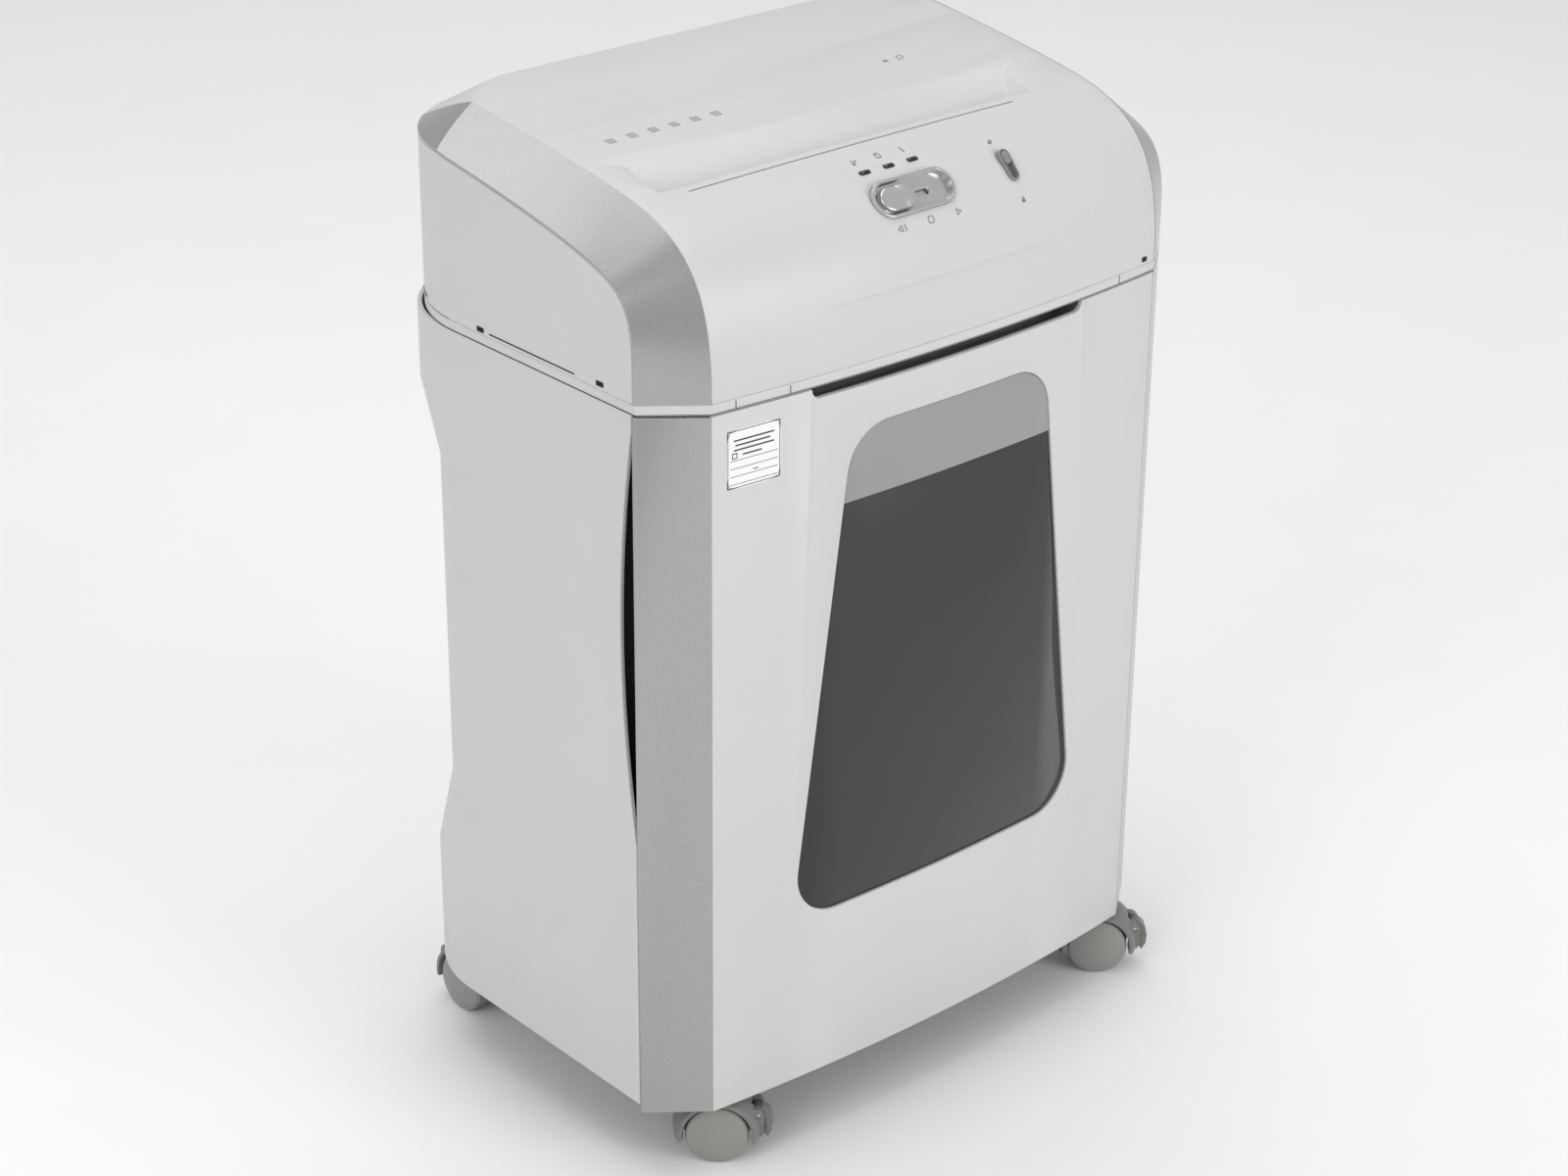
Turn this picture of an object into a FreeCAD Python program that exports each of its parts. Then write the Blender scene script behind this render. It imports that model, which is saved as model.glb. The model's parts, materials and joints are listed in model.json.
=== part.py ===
import FreeCAD, Part
import Sketcher
import math
import os
import re
from FreeCAD import Placement, Rotation, Vector

# Deskside paper shredder: a cabinet on four swivel casters, a fixed cutting head on top
# and a pull-out bin in front.  Millimetres.  X runs to the right, Y to the back, Z up.
# Every sub-part is shaped in a working frame whose Y = 0 is the plane of the bin's front
# corners; its Placement then moves it back so that the origin is under the middle of the
# body, on the floor.

SIZES = {
    # whole body
    "body_width": 350.0,
    "body_depth": 235.0,
    "front_bow": 8.3,
    "corner_cut_across": 27.6,
    "corner_cut_back": 22.0,
    "back_radius": 64.0,
    "seam_height": 421.0,
    "head_height": 108.3,
    "seam_gap": 0.8,
    # cabinet
    "cabinet_lift": 3.6,
    "cabinet_wall": 2.5,
    "base_thickness": 3.0,
    "scoop_depth": 6.0,
    "scoop_front": 60.0,
    "scoop_foot": 113.0,
    "scoop_low": 155.0,
    "scoop_high_drop": 81.0,
    "scoop_head_drop": 39.0,
    "side_edge": 25.0,
    "grip_depth": 6.0,
    "grip_low": 193.0,
    "grip_wide_drop": 49.0,
    "grip_high_drop": 9.0,
    "runner_width": 8.0,
    "runner_spread": 190.0,
    # head shell
    "head_wall": 2.5,
    "head_corner_radius": 72.0,
    "head_back_inset": 1.0,
    "lip_height": 5.3,
    "lip_wall": 3.0,
    "tray_thickness": 3.0,
    "trim_thickness": 1.8,
    "brow_start": 15.0,
    "brow_handle": 49.0,
    "shoulder_depth": 63.5,
    "shoulder_drop": 17.9,
    "shoulder_slope": 10.5,
    "shoulder_handle": 44.0,
    "crown_handle": 62.0,
    "crown_rise": 4.2,
    "edge_start": 23.0,
    "edge_handle": 31.0,
    "edge_depth": 60.0,
    "edge_drop": 39.0,
    "edge_slope": 15.5,
    "edge_back_handle": 29.0,
    "edge_crown_handle": 50.0,
    "edge_back_drop": 9.3,
    "cap_drop": 18.3,
    "cap_back_cut": 36.0,
    # paper entry
    "throat_offset": -13.0,
    "throat_width": 230.0,
    "slot_depth": 62.6,
    "slot_gap": 5.0,
    "entry_sink": 25.3,
    "entry_front_run": 11.1,
    "entry_back_run": 26.4,
    "entry_left_run": 8.0,
    "entry_right_run": 20.0,
    "guide_wall": 1.8,
    "guide_end_gap": 3.75,
    "sensor_rise": 30.0,
    "sensor_reach": 15.0,
    "sensor_droop": 30.0,
    "guide_rise": 19.0,
    # control slider and its recess
    "bezel_offset": -10.4,
    "bezel_depth": 13.3,
    "bezel_drop": 34.9,
    "bezel_tilt": 48.0,
    "bezel_length": 51.0,
    "bezel_width": 19.4,
    "bezel_sink": 3.2,
    "bezel_wall": 1.4,
    "slider_length": 21.6,
    "slider_width": 12.6,
    "slider_height": 3.6,
    "slider_step": 9.9,
    "slider_clearance": 0.3,
    # safety lock
    "lock_offset": 53.4,
    "lock_depth": 13.5,
    "lock_drop": 34.7,
    "lock_length": 17.0,
    "lock_width": 6.4,
    "lock_knob_length": 7.0,
    "lock_travel": 7.5,
    # indicator lenses
    "lens_length": 6.0,
    "lens_width": 2.2,
    "lens_depth": 30.0,
    "lens_pitch": 15.4,
    "lens_offset": -11.3,
    # cutters
    "shaft_rise": 37.0,
    "disc_tip_clearance": 0.5,
    "disc_radius": 15.5,
    "disc_thickness": 3.9,
    "disc_clearance": 0.3,
    "disc_count": 26.0,
    "hub_radius": 9.0,
    "hex_radius": 7.4,
    "journal_radius": 6.0,
    "running_clearance": 0.05,
    "plate_thickness": 2.0,
    "plate_rise": 42.0,
    "plate_reach": 42.6,
    "plate_back_reach": 49.4,
    "plate_cut_back": 28.0,
    "plate_cut_drop": 20.0,
    "plate_margin": 3.0,
    "bush_radius": 9.0,
    "bush_length": 3.8,
    "rod_radius": 3.0,
    # gear train
    "gear_layer": 9.0,
    "gear_width": 7.0,
    "gear_side_gap": 3.0,
    "gear_plate_front": 15.0,
    "gear_plate_back": 23.0,
    "gear_plate_lift": 12.0,
    "gear_plate_drop": 8.0,
    "main_module": 1.5,
    "second_module": 1.25,
    "fine_module": 1.0,
    "sync_teeth": 20.0,
    "main_teeth": 40.0,
    "last_pinion_teeth": 12.0,
    "second_teeth": 50.0,
    "second_pinion_teeth": 14.0,
    "first_teeth": 60.0,
    "motor_teeth": 12.0,
    "second_angle": 25.0,
    "first_angle": -20.0,
    "motor_angle": 20.0,
    "tooth_backlash": 0.2,
    "pin_radius": 3.0,
    # motor
    "motor_radius": 27.0,
    "motor_length": 70.0,
    "motor_standoff": 9.0,
    "motor_shaft_radius": 2.5,
    "motor_hole_gap": 4.0,
    "motor_boss_radius": 14.0,
    "can_wall": 6.0,
    "rotor_gap": 1.0,
    "rotor_radius": 17.0,
    "fan_radius": 22.0,
    # bin
    "panel_thickness": 3.0,
    "window_foot": 132.3,
    "window_split_drop": 65.0,
    "window_head_drop": 27.1,
    "window_foot_half": 99.2,
    "window_head_half": 65.0,
    "window_corner": 25.0,
    "window_clearance": 0.3,
    "pane_sink": 1.2,
    "header_sink": 0.5,
    "flange_reach": 4.0,
    "flange_thickness": 1.0,
    "pull_half": 90.0,
    "pull_height": 6.0,
    "pull_depth": 16.0,
    "trim_wrap": 3.4,
    "trim_gap": 0.4,
    "tub_side_gap": 23.0,
    "tub_wall": 2.0,
    "tub_foot_gap": 1.5,
    "tub_head_drop": 19.0,
    "tub_radius": 12.0,
    "tub_back_foot": 47.6,
    "tub_back_head": 166.0,
    # casters
    "caster_spread": 280.0,
    "caster_front": 24.0,
    "caster_back_inset": 37.0,
    "wheel_radius": 16.5,
    "wheel_width": 10.0,
    "wheel_crown": 1.8,
    "wheel_side_gap": 0.8,
    "wheel_cap_radius": 3.0,
    "tread_rounding": 1.2,
    "web_thickness": 4.8,
    "caster_trail": 12.0,
    "wheel_gap": 1.5,
    "hood_clearance": 1.9,
    "hood_wall": 2.0,
    "hood_crown": 3.2,
    "hood_half_width": 14.0,
    "stem_radius": 4.0,
    "stem_reach": 15.0,
    "axle_radius": 2.5,
    "axle_reach": 8.6,
    "socket_radius": 5.5,
    "boss_radius": 9.0,
    # small pieces
    "board_thickness": 1.6,
    "board_length": 130.0,
    "board_height": 36.0,
    "board_depth": 13.0,
    "board_drop": 22.0,
    "board_hole_inset": 5.0,
    "screw_radius": 1.5,
    "screw_head_radius": 3.0,
    "gland_radius": 6.0,
    "gland_bore": 3.6,
    "gland_length": 9.0,
    "gland_flange": 0.9,
    "gland_offset": -92.0,
    "gland_rise": 44.0,
}

doc = FreeCAD.newDocument("paper_shredder")
sheet = doc.addObject("Spreadsheet::Sheet", "Sizes")
for row, (alias, value) in enumerate(SIZES.items(), start=1):
    sheet.set("A%d" % row, alias)
    sheet.set("B%d" % row, str(value))
    sheet.setAlias("B%d" % row, alias)
doc.recompute()


def size(alias):
    """The value of a named cell of the spreadsheet."""
    return float(sheet.get(alias))


def bound(text):
    """An expression in which each named size points at its cell."""
    names = re.compile(r"[a-z_]+")
    return names.sub(lambda m: "Sizes." + m.group() if m.group() in SIZES else m.group(), text)


# Heights and depths that follow from other sizes, as expressions.
HOOD_RADIUS = "(wheel_radius + wheel_gap + hood_wall)"
GROUND_GAP = "(wheel_radius + %s + hood_clearance)" % HOOD_RADIUS
BASE_LOW = "(%s + cabinet_lift)" % GROUND_GAP
SHAFT_SPACING = "(disc_radius + hub_radius + disc_tip_clearance)"
SHAFT_HEIGHT = "(seam_height + shaft_rise)"
FRONT_SHIFT = "-(body_depth - front_bow) / 2"
NODES = []


def node(thing, label):
    """Gives a finished sub-part its name and its place in the part's frame."""
    thing.Label = label
    thing.setExpression("Placement.Base.y", bound(FRONT_SHIFT))
    NODES.append(thing)
    return thing


def shape_node(label, shape):
    """A sub-part whose shape is made directly from the named sizes.  A shape that was
    turned into place keeps that place inside a compound."""
    if not shape.Placement.isIdentity():
        shape = Part.makeCompound([shape])
    thing = doc.addObject("Part::Feature", label)
    thing.Shape = shape
    return node(thing, label)


def primitive(kind, sizes, place=("0", "0", "0"), axis=None):
    """A Part primitive with its sizes and place bound to the spreadsheet."""
    thing = doc.addObject("Part::" + kind, kind.lower())
    for name, text in sizes.items():
        thing.setExpression(name, bound(text))
    if axis:
        thing.Placement = Placement(Vector(), Rotation(Vector(0, 0, 1), Vector(*axis)))
    for name, text in zip("xyz", place):
        thing.setExpression("Placement.Base." + name, bound(text))
    return thing


def cylinder(radius, height, place, axis=(0, 0, 1)):
    return primitive("Cylinder", {"Radius": radius, "Height": height}, place, axis)


def fused(things):
    joined = doc.addObject("Part::MultiFuse", "joined")
    joined.Shapes = things
    return joined


def cut(base, tools):
    """The base less one tool or the union of several."""
    result = doc.addObject("Part::Cut", "cut")
    result.Base = base
    result.Tool = tools[0] if len(tools) == 1 else fused(tools)
    return result


def grouped(things):
    """Separate solids that are one node."""
    group = doc.addObject("Part::Compound", "group")
    group.Links = things
    return group


def number_of(text):
    """The present value of an expression, worked out by the document itself."""
    probe = doc.getObject("probe") or doc.addObject("App::FeaturePython", "probe")
    if "reading" not in probe.PropertiesList:
        probe.addProperty("App::PropertyFloat", "reading")
    probe.setExpression("reading", bound(text))
    probe.recompute()
    return probe.reading


def origin_plane(body, role):
    return [item for item in body.Origin.OriginFeatures if item.Role == role][0]


def sketch_on(body, role, outlines, offset=None):
    """A sketch of closed outlines: ("ring", across, up, radius) or a list of corners.
    Every corner and radius is held by a dimension bound to the spreadsheet."""
    sketch = body.newObject("Sketcher::SketchObject", "sketch")
    sketch.AttachmentSupport = [(origin_plane(body, role), "")]
    sketch.MapMode = "FlatFace"
    if offset:
        sketch.setExpression("AttachmentOffset.Base.z", bound(offset))
    constrain = Sketcher.Constraint
    for outline in outlines:
        if outline[0] == "ring":
            _, across, up, radius = outline
            curve = sketch.addGeometry(Part.Circle(Vector(1, 1, 0), Vector(0, 0, 1), 1), False)
            number = sketch.addConstraint(constrain("Radius", curve, 1.0))
            sketch.setExpression("Constraints[%d]" % number, bound(radius))
            hold_point(sketch, curve, 3, across, up)
            continue
        first = sketch.GeometryCount
        count = len(outline)
        starts = [corner_guess(corner) for corner in outline]
        for index in range(count):
            sketch.addGeometry(Part.LineSegment(starts[index], starts[(index + 1) % count]), False)
        for index in range(count):
            sketch.addConstraint(constrain("Coincident", first + index, 2, first + (index + 1) % count, 1))
        for index, (across, up) in enumerate(outline):
            hold_point(sketch, first + index, 1, across, up)
    return sketch


def corner_guess(corner):
    """Where a corner starts before its dimensions are solved: its real place."""
    return Vector(number_of(corner[0]), number_of(corner[1]), 0)


def hold_point(sketch, curve, point, across, up):
    for kind, text in (("DistanceX", across), ("DistanceY", up)):
        start = number_of(text)
        number = sketch.addConstraint(Sketcher.Constraint(kind, -1, 1, curve, point, start))
        sketch.setExpression("Constraints[%d]" % number, bound(text))


def padded_body(label, role, outlines, length, offset=None):
    """A PartDesign body padded from one sketch."""
    body = doc.addObject("PartDesign::Body", label)
    sketch = sketch_on(body, role, outlines, offset)
    pad = body.newObject("PartDesign::Pad", "pad")
    pad.Profile = sketch
    pad.setExpression("Length", bound(length))
    return node(body, label)


def rectangle(left, low, right, high):
    return [(left, low), (right, low), (right, high), (left, high)]


# ---------------------------------------------------------------- outlines of the body

half_width = size("body_width") / 2
inner_half = half_width - size("corner_cut_across")
body_depth = size("body_depth")
front_bow = size("front_bow")
seam = size("seam_height")
head_height = size("head_height")
crown_top = seam + head_height
ground_gap = number_of(GROUND_GAP)
base_low = number_of(BASE_LOW)


def edges_to_wire(edges):
    return Part.Wire(Part.__sortEdges__(edges))


def line(start, end):
    return Part.makeLine(Vector(*start), Vector(*end))


def arc(start, middle, end):
    return Part.Arc(Vector(*start), Vector(*middle), Vector(*end)).toShape()


def y_cylinder(radius, x, z, front, back):
    return Part.makeCylinder(radius, back - front, Vector(x, front, z), Vector(0, 1, 0))


def prism(wire, run):
    return Part.Face(wire).extrude(Vector(*run))


def z_cylinder(radius, low, high, x=0.0, y=0.0):
    return Part.makeCylinder(radius, high - low, Vector(x, y, low))


def x_cylinder(radius, length, x, y, z):
    return Part.makeCylinder(radius, length, Vector(x, y, z), Vector(1, 0, 0))


def x_prism(points, x, length):
    wire = Part.makePolygon([Vector(x, y, z) for y, z in points + points[:1]])
    return prism(wire, (length, 0, 0))


def back_half(half, front_y, back_y, radius, z, waist_y=None, waist=0.0):
    """The sides and back of a plan outline, from the right front round to the left front."""
    waist_y = waist_y if waist_y is not None else (front_y + back_y - radius) / 2
    side = half - waist
    rear = back_y - waist
    bend = radius * math.sqrt(0.5)
    right = [
        line((half, front_y, z), (half, waist_y, z)),
        line((half, waist_y, z), (side, rear - radius, z)),
        arc((side, rear - radius, z), (side - radius + bend, rear - radius + bend, z),
            (side - radius, rear, z)),
    ]
    back = line((side - radius, rear, z), (radius - side, rear, z))
    left = [
        arc((radius - side, rear, z), (radius - side - bend, rear - radius + bend, z),
            (-side, rear - radius, z)),
        line((-side, rear - radius, z), (-half, waist_y, z)),
        line((-half, waist_y, z), (-half, front_y, z)),
    ]
    return right + [back] + left


def head_plan(z, inset=0.0):
    """The outline of the head seen from above, bowed in front, set in by a wall."""
    half = half_width - inset
    corner = inner_half - inset * math.tan(math.radians(22.5))
    front_y = inset
    cut_y = size("corner_cut_back") + inset * 0.5
    edges = [
        arc((-corner, front_y, z), (0, front_y - front_bow, z), (corner, front_y, z)),
        line((corner, front_y, z), (half, cut_y, z)),
    ]
    edges += back_half(half, cut_y, body_depth - size("head_back_inset") - inset,
                       size("head_corner_radius") - inset, z)
    edges.append(line((-half, cut_y, z), (-corner, front_y, z)))
    return edges_to_wire(edges)


def polar(length, degrees):
    turn = math.radians(degrees)
    return Vector(0, length * math.cos(turn), length * math.sin(turn))


def crown_wire(x, edge, bow, drop=0.0, floor=None):
    """The head's profile at one X.  edge=False gives the high profile between the trims,
    edge=True the low one at the side walls; drop moves the skin inwards."""
    floor = size("lip_height") + seam if floor is None else floor
    back_y = body_depth + 5.0
    if edge:
        start = Vector(x, size("corner_cut_back") + drop, seam + size("edge_start"))
        shoulder = Vector(x, size("edge_depth") + drop * 0.3, crown_top - size("edge_drop") - drop)
        low_pull = start + Vector(0, 0, size("edge_handle"))
        high_pull = shoulder - polar(size("edge_back_handle"), size("edge_slope"))
        crown_pull = shoulder + polar(size("edge_crown_handle"), size("edge_slope"))
        end = Vector(x, back_y, crown_top - size("edge_back_drop") - drop)
    else:
        start = Vector(x, drop, seam + size("brow_start"))
        shoulder = Vector(x, size("shoulder_depth"), crown_top - size("shoulder_drop") - drop)
        low_pull = start + Vector(0, 1.5, size("brow_handle"))
        high_pull = shoulder - polar(size("shoulder_handle"), size("shoulder_slope"))
        crown_pull = shoulder + polar(size("crown_handle"), size("shoulder_slope"))
        end = Vector(x, back_y, crown_top + size("crown_rise") - drop)
    points = []
    fade = body_depth * 0.8
    for point in (start, low_pull, high_pull, shoulder, crown_pull, end):
        shift = bow * max(0.0, 1.0 - max(point.y, 0.0) / fade)
        points.append(point - Vector(0, shift, 0))
    start, low_pull, high_pull, shoulder, crown_pull, end = points
    brow = Part.BezierCurve()
    brow.setPoles([start, low_pull, high_pull, shoulder])
    crown = Part.BezierCurve()
    crown.setPoles([shoulder, crown_pull, end])
    low_front = Vector(x, start.y, floor)
    low_back = Vector(x, back_y, floor)
    return Part.Wire([
        Part.makeLine(low_front, start),
        brow.toShape(),
        crown.toShape(),
        Part.makeLine(end, low_back),
        Part.makeLine(low_back, low_front),
    ])


def crown_block(drop=0.0, edge_drop=None, floor=None, side=0.0):
    """The head's skin as a solid: a bowed middle and two ruled, bevelled sides."""
    edge_drop = drop if edge_drop is None else edge_drop
    half = half_width - side
    corner = inner_half - side * 0.4
    middle = Part.makeLoft([
        crown_wire(-corner, False, 0.0, drop, floor),
        crown_wire(0.0, False, front_bow, drop, floor),
        crown_wire(corner, False, 0.0, drop, floor),
    ], True, False)
    sides = []
    for way in (-1, 1):
        inner = crown_wire(way * corner, False, 0.0, edge_drop, floor)
        outer = crown_wire(way * half, True, 0.0, edge_drop, floor)
        sides.append(Part.makeLoft([inner, outer], True, True))
    return middle.fuse(sides)


def cap_block(drop=0.0, side=0.0):
    """Everything under the sloping edge that runs round the back corners of the head."""
    low = crown_top - size("cap_drop") - drop
    radius = size("head_corner_radius")
    half = half_width - side
    cut_x = size("corner_cut_across")
    front_y = -2 * front_bow
    back_y = body_depth - size("head_back_inset") - side

    def ring(z, inset_x, inset_y):
        corner = max(radius - inset_y, 5.0)
        edges = back_half(half - inset_x, front_y, back_y - inset_y, corner, z)
        edges.append(line((inset_x - half, front_y, z), (half - inset_x, front_y, z)))
        return edges_to_wire(edges)

    foot = prism(ring(seam - 20.0, 0.0, 0.0), (0, 0, low - seam + 20.0))
    slope = Part.makeLoft([
        ring(low, 0.0, 0.0),
        ring(crown_top - drop, cut_x, size("cap_back_cut")),
    ], True, True)
    return foot.fuse(slope)


def plan_block(low, high, inset=0.0):
    return prism(head_plan(low, inset), (0, 0, high - low))


lip_top = seam + size("lip_height")
head_back = body_depth - size("head_back_inset")
cover_screw_places = [(x, lip_top + 9.0) for x in (-80.0, 80.0)]
screw_sink = 1.0
gland_x = size("gland_offset")
gland_z = seam + size("gland_rise")
wall = size("head_wall")
head_solid = crown_block().common(cap_block())
hollow = crown_block(wall, floor=lip_top - 5, side=wall).common(cap_block(wall, wall))


# ---------------------------------------------------------------- trims of the head

def head_trims():
    """The two metallic strips: the bevel band down each front corner, over each side edge
    and round each back corner."""
    drop = size("trim_thickness")
    pushed = crown_block(0.0, edge_drop=drop)
    low_cap = cap_block(drop)
    middle = Part.makeBox(2 * inner_half, body_depth + 40, crown_top, Vector(-inner_half, -20, 0))
    bands = head_solid.cut(pushed.common(low_cap)).cut(middle)
    trims = []
    for way in (-1, 1):
        low_x = inner_half if way > 0 else -half_width - 5
        zone = Part.makeBox(size("corner_cut_across") + 5, body_depth + 40, crown_top, Vector(low_x, -20, 0))
        piece = bands.common(zone)
        solids = sorted(piece.Solids, key=lambda solid: solid.Volume)
        trims.append(solids[-1])
    return trims


trim_left_shape, trim_right_shape = head_trims()
shape_node("head_trim_left", trim_left_shape)
shape_node("head_trim_right", trim_right_shape)


# ---------------------------------------------------------------- top cover

def tilted(shape, across, depth, height, tilt):
    """Lays a flat shape, drawn round the origin, on the head's sloping front."""
    placed = shape.copy()
    spot = Placement(Vector(across, depth, height), Rotation(Vector(1, 0, 0), tilt))
    placed.Placement = spot.multiply(shape.Placement)
    return placed


def stadium(length, width, low, high):
    """A flat bar with round ends along X, centred on the origin."""
    radius = width / 2
    reach = length / 2 - radius
    edges = [
        line((-reach, -radius, low), (reach, -radius, low)),
        arc((reach, -radius, low), (reach + radius, 0, low), (reach, radius, low)),
        line((reach, radius, low), (-reach, radius, low)),
        arc((-reach, radius, low), (-reach - radius, 0, low), (-reach, -radius, low)),
    ]
    return prism(edges_to_wire(edges), (0, 0, high - low))


def rounded_rectangle(left, front, right, back, radius, z):
    bend = radius * (1 - math.sqrt(0.5))
    return edges_to_wire([
        line((left + radius, front, z), (right - radius, front, z)),
        arc((right - radius, front, z), (right - bend, front + bend, z), (right, front + radius, z)),
        line((right, front + radius, z), (right, back - radius, z)),
        arc((right, back - radius, z), (right - bend, back - bend, z), (right - radius, back, z)),
        line((right - radius, back, z), (left + radius, back, z)),
        arc((left + radius, back, z), (left + bend, back - bend, z), (left, back - radius, z)),
        line((left, back - radius, z), (left, front + radius, z)),
        arc((left, front + radius, z), (left + bend, front + bend, z), (left + radius, front, z)),
    ])


throat_left = size("throat_offset") - size("throat_width") / 2
throat_right = size("throat_offset") + size("throat_width") / 2
slot_front = size("slot_depth") - size("slot_gap") / 2
slot_back = size("slot_depth") + size("slot_gap") / 2
entry_floor = crown_top - size("entry_sink")
shaft_spacing = number_of(SHAFT_SPACING)
shaft_front_y = size("slot_depth") - shaft_spacing / 2
shaft_rear_y = size("slot_depth") + shaft_spacing / 2
shaft_z = number_of(SHAFT_HEIGHT)
sensor_x = size("throat_offset")
sensor_y = slot_back + 9.0
sensor_z = shaft_z + size("sensor_rise")
sensor_arm = 2.0
sensor_barrel = 9.0
sensor_pin = 1.0
lug_thickness = 2.0


def entry_funnel(grow=0.0):
    """The shallow funnel that leads paper into the slot, wide at the top."""
    foot = rounded_rectangle(throat_left - 2 - grow, slot_front - 1 - grow, throat_right + 2 + grow,
                             slot_back + 1 + grow, 1.5, entry_floor - grow)
    mouth = rounded_rectangle(throat_left - size("entry_left_run") - grow,
                              size("slot_depth") - size("entry_front_run") - 6 - grow,
                              throat_right + size("entry_right_run") + 6 + grow,
                              size("slot_depth") + size("entry_back_run") + 16 + grow, 9.0, crown_top)
    return Part.makeLoft([foot, mouth], True, True)


def lock_spot(shape):
    return tilted(shape, size("lock_offset"), size("lock_depth"), crown_top - size("lock_drop"),
                  size("bezel_tilt"))


def bezel_spot(shape):
    return tilted(shape, size("bezel_offset"), size("bezel_depth"), crown_top - size("bezel_drop"),
                  size("bezel_tilt"))


lens_tilt = 20.0


def lens_height():
    """Where the head's skin is at the depth of the indicator lenses."""
    column = Part.makeLine(Vector(size("lens_offset"), size("lens_depth"), seam),
                           Vector(size("lens_offset"), size("lens_depth"), crown_top + 20))
    return head_solid.common(column).BoundBox.ZMax


lens_z = lens_height()


def lens_boxes(grow):
    lenses = []
    for step in (-1, 0, 1):
        half = size("lens_length") / 2 + grow
        reach = size("lens_width") / 2 + grow
        block = Part.makeBox(2 * half, 2 * reach, 6.0, Vector(-half, -reach, -5.4))
        lenses.append(tilted(block, size("lens_offset") + step * size("lens_pitch"),
                             size("lens_depth"), lens_z, lens_tilt))
    return lenses


def top_cover():
    shell = head_solid.cut(hollow)
    funnel = entry_funnel()
    skirt = entry_funnel(size("guide_wall")).common(head_solid)
    shell = shell.fuse(skirt).cut(funnel)
    slot = Part.makeBox(size("throat_width"), size("slot_gap"), 40,
                        Vector(throat_left, slot_front, entry_floor - 20))
    shell = shell.cut(slot)
    shell = shell.cut([trim_left_shape, trim_right_shape])
    shell = shell.cut(bezel_spot(stadium(size("bezel_length"), size("bezel_width"), -20, 20)))
    shell = shell.cut(lock_spot(stadium(size("lock_length"), size("lock_width"), -12, 20)
                                .rotated(Vector(), Vector(0, 0, 1), 90)))
    shell = shell.cut(lens_boxes(0.0))
    for x, z in cover_screw_places:
        hole = y_cylinder(size("screw_radius"), x, z, head_back - 6, head_back + 4)
        seat = y_cylinder(size("screw_head_radius"), x, z, head_back - screw_sink, head_back + 4)
        shell = shell.cut([hole, seat])
    inlet = y_cylinder(size("gland_radius"), gland_x, gland_z, head_back - 6, head_back + 4)
    return largest(shell.cut(inlet))


def largest(shape):
    return sorted(shape.Solids, key=lambda solid: solid.Volume)[-1]


shape_node("top_cover", top_cover())


# ---------------------------------------------------------------- head fittings

stem_length = 4.0
stem_width = 2.2
stem_slot_gap = 0.4
slider_slot = 2 * size("slider_step") + stem_length + 2 * stem_slot_gap
shutter_thickness = 0.8
bezel_underside = -size("bezel_sink") - size("bezel_wall")


def bezel_shape():
    """The control's oval tray, with a slot in its floor for the slider's stem."""
    length = size("bezel_length")
    width = size("bezel_width")
    rim = size("bezel_wall")
    body = stadium(length, width, bezel_underside, 1.2)
    body = body.cut(stadium(length - 2 * rim, width - 2 * rim, -size("bezel_sink"), 5))
    return bezel_spot(body.cut(stadium(slider_slot, stem_width + 2 * stem_slot_gap, bezel_underside - 1, 5)))


shape_node("control_bezel", bezel_shape())


def slider_shape():
    """A pill with a dished finger pad.  Its stem passes through the bezel's floor and
    carries a shutter that keeps the slot closed from below."""
    sink = size("bezel_sink")
    clearance = size("slider_clearance")
    foot = clearance - sink
    pill = stadium(size("slider_length"), size("slider_width"), foot, foot + size("slider_height"))
    rim = [edge for edge in pill.Edges if edge.BoundBox.ZMin > foot + size("slider_height") - 0.1]
    pill = pill.makeFillet(1.1, rim)
    dish_radius = 24.0
    dish = Part.makeSphere(dish_radius, Vector(0, 0, foot + size("slider_height") + dish_radius - 1.0))
    pill = pill.cut(dish)
    shutter_top = bezel_underside - clearance
    stem_foot_z = shutter_top - shutter_thickness - 3.0
    stem = Part.makeBox(stem_length, stem_width, foot + 0.1 - stem_foot_z,
                        Vector(-stem_length / 2, -stem_width / 2, stem_foot_z))
    shutter_length = slider_slot + 2 * size("slider_step") + 2.0
    shutter = stadium(shutter_length, stem_width + 4.0, shutter_top - shutter_thickness, shutter_top)
    shape = pill.fuse([stem, shutter])
    shape.translate(Vector(-size("slider_step"), 0, 0))
    return bezel_spot(shape)


shape_node("control_slider", slider_shape())


def upright_stadium(length, width, low, high):
    return stadium(length, width, low, high).rotated(Vector(), Vector(0, 0, 1), 90)


def lock_bezel_shape():
    length = size("lock_length")
    width = size("lock_width")
    frame = upright_stadium(length, width, -3.4, 0.6)
    frame = frame.cut(upright_stadium(length - 1.6, width - 1.6, -2.4, 5))
    return lock_spot(frame)


shape_node("lock_bezel", lock_bezel_shape())


def lock_slider_shape():
    knob_length = size("lock_knob_length")
    travel = size("lock_travel")
    knob = upright_stadium(knob_length, size("lock_width") - 2.4, -2.2, 0.9)
    ridge = Part.makeBox(2.6, 0.9, 0.8, Vector(-1.3, -0.45, 0.6))
    shape = knob.fuse(ridge)
    shape.translate(Vector(0, travel / 2, 0))
    return lock_spot(shape)


shape_node("lock_slider", lock_slider_shape())
shape_node("indicator_lenses", Part.makeCompound(lens_boxes(0.0)))


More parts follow.
